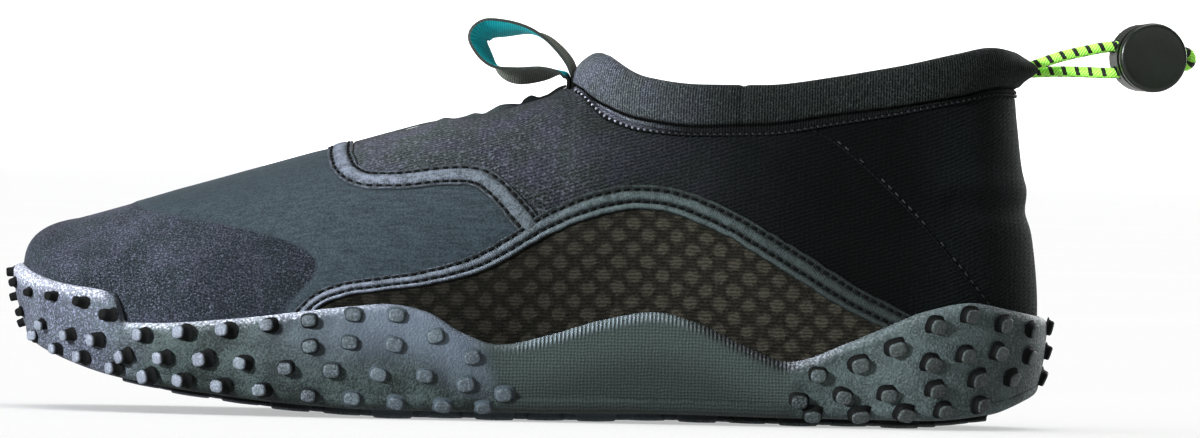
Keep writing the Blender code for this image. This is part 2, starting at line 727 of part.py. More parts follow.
for old in list(bpy.data.objects):
    bpy.data.objects.remove(old, do_unlink=True)
PARTS = bpy.data.collections.new("water_shoe")
CUTTERS = bpy.data.collections.new("cutters")
for group in (PARTS, CUTTERS):
    bpy.context.scene.collection.children.link(group)
main()
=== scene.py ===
"""Looks of the low neoprene water shoe: fine skins, straps, stitches, studs, cord and finishes.

The toe points to -X, the heel to +X, and the outer (lateral) side of this left shoe to -Y. Sizes are in
millimetres until a mesh is made; MM turns them into metres.
"""
import json
import math
from collections import namedtuple

import bmesh
import bpy
import numpy as np
from mathutils import Matrix, Vector

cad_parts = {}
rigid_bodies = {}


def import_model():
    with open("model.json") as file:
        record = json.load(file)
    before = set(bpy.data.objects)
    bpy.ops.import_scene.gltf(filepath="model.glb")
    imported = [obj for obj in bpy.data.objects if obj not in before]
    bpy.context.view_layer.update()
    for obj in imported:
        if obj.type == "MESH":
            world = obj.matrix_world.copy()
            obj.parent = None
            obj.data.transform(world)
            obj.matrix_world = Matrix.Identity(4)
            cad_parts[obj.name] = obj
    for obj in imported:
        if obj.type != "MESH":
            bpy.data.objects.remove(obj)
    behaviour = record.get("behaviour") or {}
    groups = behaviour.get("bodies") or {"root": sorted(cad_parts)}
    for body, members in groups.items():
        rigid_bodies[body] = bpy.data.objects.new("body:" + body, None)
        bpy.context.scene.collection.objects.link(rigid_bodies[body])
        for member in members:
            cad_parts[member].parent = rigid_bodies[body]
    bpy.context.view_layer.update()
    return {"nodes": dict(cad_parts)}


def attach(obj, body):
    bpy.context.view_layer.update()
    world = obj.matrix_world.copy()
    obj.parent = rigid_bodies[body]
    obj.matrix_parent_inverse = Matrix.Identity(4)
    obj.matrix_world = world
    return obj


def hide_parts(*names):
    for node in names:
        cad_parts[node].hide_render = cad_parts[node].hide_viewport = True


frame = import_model()

MM = 0.001
LATERAL = -1
MEDIAL = 1
SIDES = (LATERAL, MEDIAL)
UP = np.array([0.0, 0.0, 1.0])
SEED = 7
WELD = 0.01

# View of the photo: what its middle looks at, the width that it shows, its distance, rise and roll in degrees
VIEW_CENTRE = (16.9, 0.0, 54.3)
VIEW_WIDTH = 324.6
VIEW_DISTANCE = 3000.0
VIEW_RISE = 0.3
VIEW_ROLL = 1.3
SENSOR = 36.0

# The last, as in the frame
TOE_X = -133.0
HEEL_X = 133.0
TOE_ROUND = 43.0
HEEL_ROUND = 34.0
TOE_ROUND_SHARE = 0.228
HEEL_ROUND_SHARE = 0.167
COLLAR_FRONT_X = 8.5
COLLAR_BACK_X = 128.3
COLLAR_FRONT_ROUND = 60.0
COLLAR_BACK_ROUND = 30.0
COLLAR_HALF_WIDTH = 28.0
UPPER_WALL = 2.6
RIB_STEP = 0.004
X_STEP = 2.0
RIDGE_BLEND = 18.0
TOE_PUSH = 1.7
HANDLE_BLEND = 34
SIDES_MEET = 0.05
LOCATE_ROUNDS = 14
RIB_ROUNDS = 24

# Fineness of the working grid on the last and of the pieces, with the places along the sole that need it most
GRID_RIBS = 801
GRID_LEVELS = 161
SKIN_RIBS = 300
SKIN_LEVELS = 62
HIDDEN_LEVELS = 5
SOLE_LEVELS = 18
LIP_LEVELS = 8
EDGE_LEVELS = 7
INSOLE_RIBS = 160
SOLE_STEP = 0.9
ARCH_STEP = 0.22
ARCH_CLOSE = (-20.0, 72.0)
BUMPER_END_X = -107.0
BUMPER_CLOSE = 9.0

# Sole, as in the frame, with the fine shape of its wall: thickness from the foot of the wall to its top edge
BASE_DEPTH = 4.5
EDGE_ROUND = 3.5
EDGE_LIMIT = 0.8
WALL_FOOT = 3.4
WALL_CREST = 2.7
LIP_START = 0.86
LIP_LEFT = 0.35
INSOLE_THICK = 3.5
INSOLE_INSET = 3.2
INSOLE_ROUND = 1.2
INSOLE_EDGE = [
    (0.0, 0.0), (0.0, INSOLE_THICK - INSOLE_ROUND), (0.35, INSOLE_THICK - 0.35),
    (INSOLE_ROUND, INSOLE_THICK), (8.0, INSOLE_THICK + 0.2),
]
LUG_PITCH = 17.0
LUG_FIRST_X = -119.0
LUG_ROW_STEP = 13.6
LUG_HALF = 5.2
LUG_HEIGHT = 2.3
LUG_EDGE = 7.5
SMALL_LUG = 0.62
SMALL_LUG_DEPTH = 0.9
LUG_SIDES = 16
LUG_SQUARE = 1.5
LUG_SHAPE = [
    (1.2, -0.6), (1.15, 0.0), (1.04, 0.7), (1.0, 1.9), (0.93, 2.25), (0.85, LUG_HEIGHT), (0.3, LUG_HEIGHT),
]

# Ribbed arch panel of the sole: its slanted ends in the side view, its ribs and how deep it is sunk
ArchEnd = namedtuple("ArchEnd", "x z lean")
ARCH_FRONT = ArchEnd(-16.0, 26.0, 0.42)
ARCH_BACK = ArchEnd(70.0, 18.0, 0.15)
ARCH_PITCH = 1.1
ARCH_RELIEF = 0.13
ARCH_SUNK = 0.45
THINNEST = 0.2
SOLE_GAP = 0.05
SOLE_FAR = 30.0

# Collar band, with its puckers, the joint in its cloth and its spout
BAND_PROUD = 1.3
BAND_THICK = 5.6
BAND_SIDES = 72
BAND_SQUARE = 0.72
BAND_OVERLAP = 0.7
BAND_STEP = 0.9
BAND_GIRTH = 36.0
PUCKER = 0.22
PUCKER_PITCH = 5.3
CLOTH_JOINT_X = 54.5
CLOTH_JOINT_DEPTH = 0.5
SPOUT_AT = 0.6
SPOUT_HALF = 0.27

# Pull loop's ribbon
LOOP_Y = 0.5
LOOP_WIDTH = 10.0
LOOP_THICK = 0.8
LOOP_STEP = 0.6
LOOP_COLUMNS = 9
LOOP_CURL = 0.35
LOOP_TAB = 5.0
LOOP_TAB_FADE = 1.5

# Cord lock and drawcord; the button's edge is (inset, rise over its back) and its face (inset, depth)
LOCK_CENTRE = Vector((163.6, 0.8, 101.2))
LOCK_TURN = 13.0
LOCK_RADIUS = 9.1
LOCK_STRAND_DEPTH = -0.6
HEAD_BACK = 5.7
HEAD_THICK = 2.7
HEAD_RADIUS = 9.35
HEAD_MIDDLE = 0.4
HEAD_SIDES = 72
HEAD_EDGE = [(0.5, 0.0), (0.12, 0.15), (0.0, 0.5)]
HEAD_FACE = [(0.0, 1.0), (0.15, 0.45), (0.5, 0.12), (0.95, 0.0), (1.3, 0.08), (2.2, 0.2), (5.0, 0.3)]
HOUSING_ROUND = 0.35
PRONG_RADIUS = 7.5
PRONG_TIP = -0.9
PRONG_SUNK = 0.3
PRONG_STEPS = 15
FORK_HALF = 5.8
CORD_DIAMETER = 3.0
CORD_STEP = 0.35
CORD_SIDES = 20
CORD_BRAID = 0.09
BRAID_STRANDS = 4
BRAID_PITCH = 1.5
BRAID_RETURN = 4.2
FLECK_PITCH = 3.6
STRAND_IN = {1: 2.9, -1: -4.3}
STRAND_OUT = 1.8
STRAND_END = 9.8
STRAND_FREE = {
    1: [(129.5, -1.5, 97.2), (132.0, -1.4, 97.9), (134.6, -1.4, 98.9), (140.0, -1.4, 100.9),
        (147.5, -1.1, 102.8)],
    -1: [(129.5, 1.5, 96.5), (132.0, 1.4, 96.6), (134.6, 1.4, 96.7), (140.0, 1.2, 97.0), (147.5, 0.4, 97.0)],
}
BIGHT_START = 10.4
BIGHT_LEG = 0.6
BIGHT_STEPS = 24


def table(kind, *rows):
    """Rows of one kind of named tuple."""
    return [kind(*row) for row in rows]


# Plan of the sole, ribs of the last, and side views of the last's top line and of the sole wall's top edge
Plan = namedtuple("Plan", "x swing lateral medial floor")
PLAN = table(
    Plan,
    (-138, 10.0, 42.0, 35.0, 25.5),
    (-128, 9.4, 43.0, 35.5, 19.6),
    (-110, 8.0, 43.0, 36.0, 13.6),
    (-90, 6.5, 44.0, 37.5, 10.4),
    (-65, 4.5, 46.5, 40.0, 7.9),
    (-42, 2.5, 46.0, 40.0, 6.8),
    (0, 0.5, 40.0, 32.0, 6.8),
    (35, 0.0, 35.0, 28.0, 7.2),
    (70, 0.0, 32.5, 30.0, 6.8),
    (104, 0.0, 31.0, 31.0, 6.8),
    (122, 0.0, 31.0, 31.0, 8.6),
    (134, 0.0, 31.0, 31.0, 13.5),
)

Rib = namedtuple("Rib", "x top_x bulge rise shoulder drop")
RIB = table(
    Rib,
    (-133, -124.0, 9.0, 20, 14.0, 0.0),
    (-124, -124.0, 9.0, 18, 18.0, 0.0),
    (-110, -110.0, 9.0, 17, 24.0, 0.0),
    (-90, -90.0, 10.0, 20, 28.0, 0.0),
    (-60, -60.0, 10.0, 28, 30.0, 0.5),
    (-40, -39.0, 9.0, 32, 29.0, 1.0),
    (-15, -12.5, 8.0, 34, 26.0, 1.5),
    (4, 8.5, 7.0, 35, 24.0, 2.0),
    (9, 10.2, 7.0, 35, 20.5, 4.0),
    (15, 14.0, 7.0, 35, 17.0, 7.0),
    (21, 19.5, 7.0, 34, 14.0, 11.0),
    (28, 26.7, 7.0, 33, 11.0, 15.5),
    (45, 44.0, 7.0, 30, 7.5, 23.0),
    (70, 70.0, 7.0, 28, 5.0, 28.0),
    (99, 98.3, 7.0, 25, 3.5, 29.0),
    (133, 128.3, 7.5, 23, 1.7, 29.0),
)

Profile = namedtuple("Profile", "x z")
TOP_LINE = table(
    Profile,
    (-124, 51.4), (-108, 56.2), (-75, 66.2), (-43, 75.7), (-11, 84.9), (8.5, 90.2), (16, 85.4), (27, 80.8),
    (43, 78.7), (60, 79.1), (78, 82.0), (97, 85.6), (113, 89.2), (124, 91.5), (128.3, 91.2),
)
WALL_TOP = table(
    Profile,
    (-140, 39.5), (-135, 36.4), (-126, 33.7), (-116, 32.3), (-112.2, 31.2), (-110.9, 28.9), (-110.1, 25.4),
    (-108.5, 23.9), (-101, 24.0), (-80, 25.7), (-50, 29.6), (-39, 30.6), (-29, 28.9), (-19, 23.4),
    (-9.5, 20.5), (4, 23.3), (18, 27.6), (32, 30.0), (44, 27.2), (56, 21.8), (68, 17.6), (85, 23.4),
    (105, 31.9), (117, 34.2), (127, 32.5), (136, 30.6),
)

# Studs of the sole's wall in the side view, row by row, and their heights round the toe and heel ends
STUDS = [
    (-140.6, 34.2), (-136.0, 31.6), (-129.2, 30.2), (-121.0, 28.4), (-113.6, 25.4),
    (-138.6, 27.0), (-132.0, 23.9), (-124.4, 21.3), (-116.8, 19.9),
    (-134.6, 19.9), (-127.8, 16.4), (-120.7, 14.4), (-111.7, 11.8),
    (-104.4, 20.8), (-93.3, 21.6), (-81.9, 22.4), (-70.6, 23.8), (-59.8, 25.2), (-48.0, 27.0), (-36.6, 27.2),
    (-26.2, 22.2), (-16.3, 17.0),
    (-59.4, 19.0), (-48.9, 20.1), (-37.0, 19.8),
    (-109.1, 16.0), (-98.6, 15.7), (-87.7, 15.5), (-77.2, 14.8), (-65.8, 13.7), (-53.6, 13.2), (-41.1, 12.4),
    (-28.7, 12.2), (-17.8, 10.2), (-7.7, 7.8),
    (-102.8, 9.9), (-93.3, 9.1), (-83.0, 7.9), (-72.1, 7.1), (-59.6, 5.9), (-48.0, 5.3), (-36.3, 4.4),
    (-23.9, 3.9), (-13.0, 3.7),
    (76.2, 14.6), (87.3, 17.5), (96.9, 22.0), (107.6, 28.0), (116.5, 30.8), (125.7, 28.6), (133.3, 27.3),
    (106.5, 18.2), (115.6, 20.6), (124.5, 21.3), (133.0, 20.4),
    (71.3, 7.9), (83.1, 9.3), (95.0, 10.1), (107.7, 11.7), (119.1, 14.5), (128.3, 14.8),
    (74.9, 3.7), (87.6, 3.8), (99.7, 4.4), (110.0, 5.4), (120.0, 7.6),
]
TOE_LEAN = np.array([-0.95, 0.0, 0.0])
HEEL_LEAN = np.array([0.35, 0.0, -0.3])
TIP_LEAN = 0.9
TOE_STUDS = [36.6, 30.7, 24.2]
HEEL_STUDS = [27.9, 21.6, 15.2]
TOE_DARK_X = -137.0
TOE_DARK_Z = 24.5
DARK_SIZE = 0.86
STUD_SIDES = 20
STUD_SQUARE = 0.7
STUD_WIDE = 1.1
STUD_SHAPE = [
    (2.75, -0.6), (2.3, 0.0), (2.08, 0.35), (1.98, 1.2), (1.92, 2.2), (1.78, 2.6), (1.45, 2.78), (0.5, 2.82),
]

# How much smaller, larger or lower the studs are at the toe, on the wall's peak and at the heel
TOE_SMALLER = 0.26
HEEL_LARGER = 0.12
PEAK_LOWER = 0.58
TIP_LOWER = 0.3
HEEL_LOWER = 0.36

# Collar band along its seat: height, lean, length of the spout, and height of the sewn strip at its foot
Band = namedtuple("Band", "x height lean spout strip")
BAND = table(
    Band,
    (8.5, 8.4, 5.0, 0.0, 0.3), (12, 10.6, 4.0, 0.0, 0.3), (16, 12.6, 3.0, 0.0, 0.4),
    (27, 12.2, 1.5, 0.0, 0.8), (43, 12.5, 1.0, 0.0, 1.2), (60, 12.3, 0.9, 0.0, 1.6),
    (78, 11.8, 0.8, 0.0, 1.5), (97, 11.8, 0.6, 0.0, 0.7), (113, 11.8, 0.4, 0.0, 0.3),
    (120, 11.6, 0.2, 0.2, 0.5), (125, 11.2, 0.0, 1.6, 0.7), (128.3, 10.8, 0.0, 5.0, 0.7),
)
STRIP_FLUSH = 0.45
STRIP_GROOVE = 1.0

# Drop of the row of beads below the collar's seam, and its greatest distance along the cloth
BEAD_ROW = table(
    Profile,
    (8.5, 2.2), (12, 2.8), (16, 3.1), (22, 2.6), (29, 2.0), (38, 1.3), (44, 1.0), (60, 0.9), (97, 1.0),
    (128.3, 1.1),
)
BEAD_LIMIT = 5.0
BEAD_STEP = 0.5

# Ribbon of the pull loop from its lower end round to its upper end; across is the lean of its width
Ribbon = namedtuple("Ribbon", "x z across_x across_z")
LOOP = table(
    Ribbon,
    (7.75, 89.4, 0.00, 0.00), (7.8, 91.8, 0.00, 0.05), (6.9, 93.2, 0.00, 0.15), (4.6, 93.9, 0.00, -0.05),
    (0.0, 93.5, 0.05, -0.34), (-6.5, 92.9, 0.15, -0.42), (-11.5, 94.6, 0.40, -0.35),
    (-15.3, 98.8, 0.55, -0.20), (-16.8, 102.4, 0.55, -0.35), (-14.5, 104.7, 0.40, -0.50),
    (-9.8, 105.0, 0.20, -0.42), (-3.8, 104.6, 0.10, -0.15), (0.8, 102.9, 0.10, 0.03),
    (4.5, 99.9, 0.16, 0.06), (7.4, 96.4, 0.18, 0.05), (8.5, 93.4, 0.13, 0.02), (8.4, 91.5, 0.00, 0.00),
    (8.35, 89.4, 0.00, 0.00),
)

# Side views of the seams: edge of the toe patch, middle lines of the two straps, and the heel counter's seam
TOE_EDGE = [
    (-113, 58), (-108.9, 55.6), (-104.8, 53.7), (-91.3, 51.6), (-77, 49.3), (-66.1, 46.4), (-60.0, 43.2),
    (-58.2, 40.4), (-59.4, 37.0), (-63.5, 32.5), (-69, 24),
]
STRAP_FRONT = [
    (-53.6, 73.0), (-53.3, 69.6), (-51.2, 65.9), (-47.0, 63.8), (-41.0, 63.5), (-35.0, 63.9), (-26.6, 65.1),
    (-18.5, 65.4), (-13.1, 63.7), (-7.6, 58.8), (-1.6, 52.2), (0.4, 50.0),
]
STRAP_SIDE = [
    (-63.0, 26.5), (-58.0, 31.4), (-52.0, 34.0), (-45.0, 35.4), (-30.0, 37.8), (-17.0, 41.6), (-8.0, 46.2),
    (0.7, 51.9), (11.4, 57.1), (21.0, 59.9), (29.0, 60.6), (38.5, 59.3), (52.0, 53.9), (68.5, 44.5),
    (82.0, 36.4), (90.0, 32.2), (98.0, 28.5), (104.0, 25.6),
]
COUNTER_SEAM = [
    (72.5, 80.5), (80.0, 76.4), (89.6, 68.7), (99.3, 59.4), (109.0, 49.1), (118.7, 37.4), (122.5, 32.5),
]

# Sections of the straps from lower to upper edge: place across from the middle, and height over the upper
Bead = namedtuple("Bead", "at height")
FRONT_SECTION = table(
    Bead,
    (-3.50, -0.4), (-3.50, 0.25), (-3.30, 0.52), (-3.00, 0.58), (-2.75, 0.48), (-2.60, 0.34), (-2.10, 0.34),
    (-1.92, 0.52), (-1.55, 0.72), (-0.60, 0.86), (0.50, 0.86), (1.35, 0.72), (1.75, 0.50), (1.92, 0.34),
    (2.45, 0.32), (2.64, 0.46), (2.90, 0.52), (3.15, 0.40), (3.25, -0.4),
)
SIDE_SECTION = table(
    Bead,
    (-3.45, -0.4), (-3.45, 0.38), (-3.20, 0.84), (-2.70, 1.04), (-2.15, 0.90), (-1.82, 0.48), (-1.66, 0.34),
    (-1.05, 0.34), (-0.85, 0.54), (-0.45, 0.80), (0.20, 0.94), (0.90, 0.84), (1.40, 0.54), (1.60, 0.34),
    (2.35, 0.32), (2.60, 0.46), (2.90, 0.56), (3.20, 0.40), (3.35, -0.4),
)
FRONT_GROOVES = [-2.34, 2.18]
SIDE_GROOVES = [-1.35, 1.98]
STRAP_STEP = 0.6
STRAP_WAVE = 2.6
STRAP_SWELL = 0.03
STRAP_WANDER = 0.07
DIVE_FROM = 3.4
DIVE_FULL = 0.8

# Widths of the straps along the shoe, as shares of their sections
Width = namedtuple("Width", "x scale")
FRONT_WIDTHS = table(Width, (-60, 1.05), (0, 1.05))
SIDE_WIDTHS = table(Width, (-65, 0.6), (-35, 0.62), (-5, 0.86), (15, 1.06), (60, 1.08), (105, 0.95))

# Soft creases of the upper in the side view: a line from start to end with its half width and depth
Crease = namedtuple("Crease", "x z to_x to_z width depth")
CREASES = table(
    Crease,
    (112, 60.5, 138, 58.3, 3.4, 0.9),
    (98, 78, 124, 70, 5.0, 0.40),
    (30, 75, 58, 69, 6.0, 0.50),
    (-34, 77, -14, 70, 4.5, 0.45),
    (-18, 80, 2, 76, 4.0, 0.35),
    (-96, 45, -78, 41, 6.0, 0.35),
    (56, 66, 78, 60, 7.0, 0.40),
)

# Relief of the upper: its film's edge, the troughs beside seams and straps, and the ridges above creases
Trough = namedtuple("Trough", "depth width")
FILM_LIFT = 0.28
STRAP_TROUGH = Trough(0.30, 5.0)
COUNTER_TROUGH = Trough(0.45, 1.4)
COLLAR_TROUGH = Trough(0.55, 1.6)
NET_SWELL = 0.5
RIDGE_RISE = 1.8
RIDGE_SHARE = 0.5
SKIN_TUCK = 0.02

# Stitches: place across their line, lift, pitch, length, thickness, first place in pitches, and share shown
Stitch = namedtuple("Stitch", "across lift pitch length thick start keep", defaults=(0.5, 1.0))
STRAP_THREAD = Stitch(0.0, 0.36, 2.5, 1.6, 1.25)
COLLAR_BEAD = Stitch(0.0, 0.25, 1.75, 0.8, 1.15)
COLLAR_THREAD = Stitch(-0.15, 0.1, 1.75, 1.3, 1.5, start=1.0)
COUNTER_THREAD = Stitch(-0.4, -0.35, 1.5, 1.5, 1.1)
COUNTER_STITCH = Stitch(0.3, -0.22, 2.6, 1.4, 0.9, keep=0.68)
STITCH_SHAPE = [(0.16, -0.50), (0.26, -0.42), (0.30, -0.2), (0.30, 0.2), (0.26, 0.42), (0.16, 0.50)]
STITCH_SIDES = 8

# Sag of the instep below the last, and heights of the gathered trim over its ridge
INSTEP_SAG = 2.0
SAG_FRONT = (-33.0, -14.0)
SAG_BACK = (8.0, 1.0)
SAG_REACH = (34.0, 4.0)
TRIM_STEP = 0.4
TRIM_SUNK = 0.3
TRIM_SIDES = 11
TRIM_HALF = 1.3
TRIM = table(
    Profile,
    (-50, 0.1), (-40, 0.12), (-31, 0.12), (-28.4, 0.15), (-25.7, 0.7), (-23.2, 0.25), (-20.6, 0.5),
    (-18.0, 1.0), (-15.6, 0.45), (-13.4, 1.0), (-10.8, 1.6), (-8.0, 1.1), (-5.9, 0.35), (-4.6, 1.2),
    (-2.8, 1.6), (-0.6, 0.4), (1.5, 0.5), (4.0, 0.7), (7.2, 0.3),
)

# Cells of the open mesh: pitch along a row, distance between rows, and pitch of its threads
NET_PITCH = 7.8
NET_ROW = 3.55
NET_THREAD = 0.95


def smooth(rows, column, x):
    """Monotone cubic through the rows' values of one column, read at x."""
    xs = np.array([row.x for row in rows], float)
    ys = np.array([getattr(row, column) for row in rows], float)
    slopes = np.diff(ys) / np.diff(xs)
    before, after = slopes[:-1], slopes[1:]
    same_way = before * after > 0
    inner = np.zeros(len(before))
    inner[same_way] = (2 * before * after)[same_way] / (before + after)[same_way]
    tangents = np.concatenate([slopes[:1], inner, slopes[-1:]])
    x = np.clip(x, xs[0], xs[-1])
    i = np.clip(np.searchsorted(xs, x, side="right") - 1, 0, len(slopes) - 1)
    span = xs[i + 1] - xs[i]
    t = (x - xs[i]) / span
    rise = ys[i + 1] - ys[i]
    start, end = tangents[i] * span, tangents[i + 1] * span
    return ys[i] + t * start + t * t * (3 * rise - 2 * start - end) + t ** 3 * (start + end - 2 * rise)


def slope_at(rows, column, x):
    """Slope at x of the monotone cubic through one column."""
    return (smooth(rows, column, x + X_STEP) - smooth(rows, column, x - X_STEP)) / (2 * X_STEP)


def unit(vectors):
    return vectors / np.maximum(np.linalg.norm(vectors, axis=-1, keepdims=True), 1e-9)


def ease(value, low, high):
    """0 below low, 1 above high, and a smooth step between."""
    t = np.clip((value - low) / (high - low), 0, 1)
    return t * t * (3 - 2 * t)


def bell(value, width):
    """1 at a value of 0, falling away to both sides over about twice the width."""
    return np.exp(-(value / width) ** 2)


def full_turn(sides):
    """Angles of evenly spaced sides, once round."""
    return np.arange(sides) * 2 * np.pi / sides


def squarer(value, power):
    """A sine or cosine with the power of its size, which makes a round form squarer when it is under 1."""
    return np.sign(value) * np.abs(value) ** power


def cap(distance, length):
    """Share of the full width near a round end: 0 at the end, 1 from one length on."""
    return np.sqrt(np.clip(1 - np.clip(1 - distance / length, 0, 1) ** 2, 0, 1)) * (distance > 0)


def foot_x(p):
    """Place along the foot of rib p, from 0 at the toe to 1 at the heel, evenly spaced round the ends."""
    toe_end, heel_start = TOE_X + TOE_ROUND, HEEL_X - HEEL_ROUND
    toe = TOE_X + TOE_ROUND * (1 - np.cos(np.pi / 2 * p / TOE_ROUND_SHARE))
    heel = HEEL_X - HEEL_ROUND * (1 - np.cos(np.pi / 2 * (1 - p) / HEEL_ROUND_SHARE))
    share = (p - TOE_ROUND_SHARE) / (1 - TOE_ROUND_SHARE - HEEL_ROUND_SHARE)
    middle = toe_end + share * (heel_start - toe_end)
    return np.where(p < TOE_ROUND_SHARE, toe, np.where(p > 1 - HEEL_ROUND_SHARE, heel, middle))


def outline(p, side):
    """Foot of rib p on the plan."""
    x = foot_x(p)
    width = np.where(np.asarray(side) == LATERAL, smooth(PLAN, "lateral", x), smooth(PLAN, "medial", x))
    width = width * cap(x - TOE_X, TOE_ROUND) * cap(HEEL_X - x, HEEL_ROUND)
    pushed = x - TOE_PUSH * ease(x, TOE_X + TOE_ROUND, TOE_X)
    return np.stack([pushed, smooth(PLAN, "swing", x) + side * width, np.zeros_like(x)], -1)


def outward(p, side):
    """Level direction that points away from the foot at rib p."""
    low, high = p - RIB_STEP, p + RIB_STEP
    before = outline(np.abs(low), np.where(low > 0, side, -side))
    after = outline(np.where(high < 1, high, 2 - high), np.where(high < 1, side, -side))
    along = after - before
    return unit(np.stack([-along[:, 1] * side, along[:, 0] * side, np.zeros(len(p))], -1))


def rib_top(p, side):
    """Upper end of rib p: on the instep ridge, or on the collar seam behind it."""
    x = smooth(RIB, "top_x", foot_x(p))
    ends = cap(x - COLLAR_FRONT_X, COLLAR_FRONT_ROUND) * cap(COLLAR_BACK_X - x, COLLAR_BACK_ROUND)
    y = smooth(PLAN, "swing", x) + side * COLLAR_HALF_WIDTH * ends
    return np.stack([x, y, smooth(TOP_LINE, "z", x)], -1)


def averaged(points, reach):
    """Points evened out along their line by a bell-shaped average; the ends keep their places."""
    weights = np.hanning(2 * reach + 1)
    before = 2 * points[:1] - points[reach:0:-1]
    after = 2 * points[-1:] - points[-2:-reach - 2:-1]
    longer = np.concatenate([before, points, after])
    return np.stack([np.convolve(column, weights / weights.sum(), "valid") for column in longer.T], 1)


def foot_line(p, side):
    """Foot of rib p on the floor of the cup."""
    return outline(p, side) + UP * smooth(PLAN, "floor", foot_x(p))[:, None]


def rib_handles(p, side):
    """The four control points of each rib's curve, from the cup floor to its top."""
    x = foot_x(p)
    foot = foot_line(p, side)
    top = rib_top(p, side)
    out = outward(p, side)
    low_handle = foot + out * smooth(RIB, "bulge", x)[:, None] + UP * smooth(RIB, "rise", x)[:, None]
    reach = out * smooth(RIB, "shoulder", x)[:, None]
    slope = slope_at(TOP_LINE, "z", top[:, 0]) * ease(top[:, 0], COLLAR_FRONT_X, COLLAR_FRONT_X - RIDGE_BLEND)
    high_handle = top + reach + UP * (reach[:, 0] * slope - smooth(RIB, "drop", x))[:, None]
    return np.stack([foot, low_handle, averaged(high_handle, HANDLE_BLEND), top], 1)


# Working grid of each side: points, normals, length along the ribs, and share of them below the sole's edge
Grid = namedtuple("Grid", "points normals run wall")
RIBS = np.linspace(0, 1, GRID_RIBS)
LEVELS = np.linspace(0, 1, GRID_LEVELS)


def make_grids():
    k = 1 - LEVELS
    weights = np.stack([k ** 3, 3 * k * k * LEVELS, 3 * k * LEVELS ** 2, LEVELS ** 3], 1)
    points = {side: np.einsum("mk,nkc->nmc", weights, rib_handles(RIBS, side)) for side in SIDES}
    normals = {}
    for side in SIDES:
        along, up = np.gradient(points[side], axis=0), np.gradient(points[side], axis=1)
        normals[side] = unit(np.cross(along, up) * -side)
    shared = unit(normals[LATERAL] + normals[MEDIAL])
    meets = np.linalg.norm(points[LATERAL] - points[MEDIAL], axis=-1) < SIDES_MEET
    grids = {}
    for side in SIDES:
        normals[side][meets] = shared[meets]
        steps = np.linalg.norm(np.diff(points[side], axis=1), axis=-1)
        run = np.concatenate([np.zeros((GRID_RIBS, 1)), np.cumsum(steps, axis=1)], 1)
        over = points[side][..., 2] - smooth(WALL_TOP, "z", points[side][..., 0])
        first = np.argmax(over > 0, axis=1)
        rows = np.arange(GRID_RIBS)
        low, high = over[rows, first - 1], over[rows, first]
        wall = LEVELS[first - 1] + (LEVELS[1] - LEVELS[0]) * low / (low - high)
        grids[side] = Grid(points[side], normals[side], run, wall)
    return grids


GRIDS = make_grids()


def read_grid(values, p, h):
    """Bilinear reading of one of a grid's arrays at ribs p and heights h."""
    a = np.clip(p, 0, 1) * (GRID_RIBS - 1)
    b = np.clip(h, 0, 1) * (GRID_LEVELS - 1)
    i = np.minimum(a.astype(int), GRID_RIBS - 2)
    j = np.minimum(b.astype(int), GRID_LEVELS - 2)
    s, t = a - i, b - j
    if values.ndim == 3:
        s, t = s[..., None], t[..., None]
    low = values[i, j] * (1 - s) + values[i + 1, j] * s
    high = values[i, j + 1] * (1 - s) + values[i + 1, j + 1] * s
    return low * (1 - t) + high * t


def on_hull(side, p, h, lift=0.0):
    """Points on the upper's outer surface, lifted along its normal."""
    normals = unit(read_grid(GRIDS[side].normals, p, h))
    return read_grid(GRIDS[side].points, p, h) + normals * np.asarray(lift)[..., None], normals


def locate(side, x, z):
    """Rib and height of the surface point that shows at x and z in the side view."""
    points = GRIDS[side].points
    h = 0.5
    for _ in range(LOCATE_ROUNDS):
        b = min(h * (GRID_LEVELS - 1), GRID_LEVELS - 1.001)
        j = int(b)
        p = np.interp(x, points[:, j, 0] * (1 - b + j) + points[:, j + 1, 0] * (b - j), RIBS)
        a = min(p * (GRID_RIBS - 1), GRID_RIBS - 1.001)
        i = int(a)
        heights = points[i, :, 2] * (1 - a + i) + points[i + 1, :, 2] * (a - i)
        h = (h + np.interp(z, np.maximum.accumulate(heights), LEVELS)) / 2
    return p, h


def curve_through(points, step):
    """Points about one step apart on a smooth curve through the given points."""
    points = np.asarray(points, float)
    padded = np.concatenate([[2 * points[0] - points[1]], points, [2 * points[-1] - points[-2]]])
    out = []
    for a, b, c, d in zip(padded, padded[1:], padded[2:], padded[3:]):
        pieces = max(1, round(float(np.linalg.norm(c - b)) / step))
        for t in np.arange(pieces) / pieces:
            out.append(0.5 * (2 * b + (c - a) * t + (2 * a - 5 * b + 4 * c - d) * t * t
                              + (3 * b - a - 3 * c + d) * t ** 3))
    return np.array(out + [points[-1]])


def run_along(points):
    """Length along a line up to each of its points."""
    return np.concatenate([[0], np.cumsum(np.linalg.norm(np.diff(points, axis=0), axis=1))])


def read_along(array, run, at):
    """Rows of an array along a line, read at other lengths along it."""
    return np.stack([np.interp(at, run, column) for column in array.T], 1)


def even(points, step, *others):
    """The same line with points one even step apart, and other arrays along it read at the same places."""
    run = run_along(points)
    at = np.linspace(0, run[-1], max(2, round(run[-1] / step) + 1))
    return [read_along(array, run, at) for array in (points, *others)]


# A line on the upper: points, normals, direction along it and direction across it, towards the top
Trace = namedtuple("Trace", "points normals along across")


def hull_trace(side, p, h, step):
    """Line over the upper through the given ribs and heights, with its points one even step apart."""
    points, normals = on_hull(side, p, h)
    points, normals = even(points, step, normals)
    normals = unit(normals)
    along = unit(np.gradient(points, axis=0))
    return Trace(points, normals, along, unit(np.cross(normals, along)) * -side)


def beside(line, aside, lift):
    """Rings of points about a line on the upper, each across the line by aside and lifted off it."""
    spread = line.across[:, None] * aside[..., None] + line.normals[:, None] * lift[..., None]
    return line.points[:, None] + spread


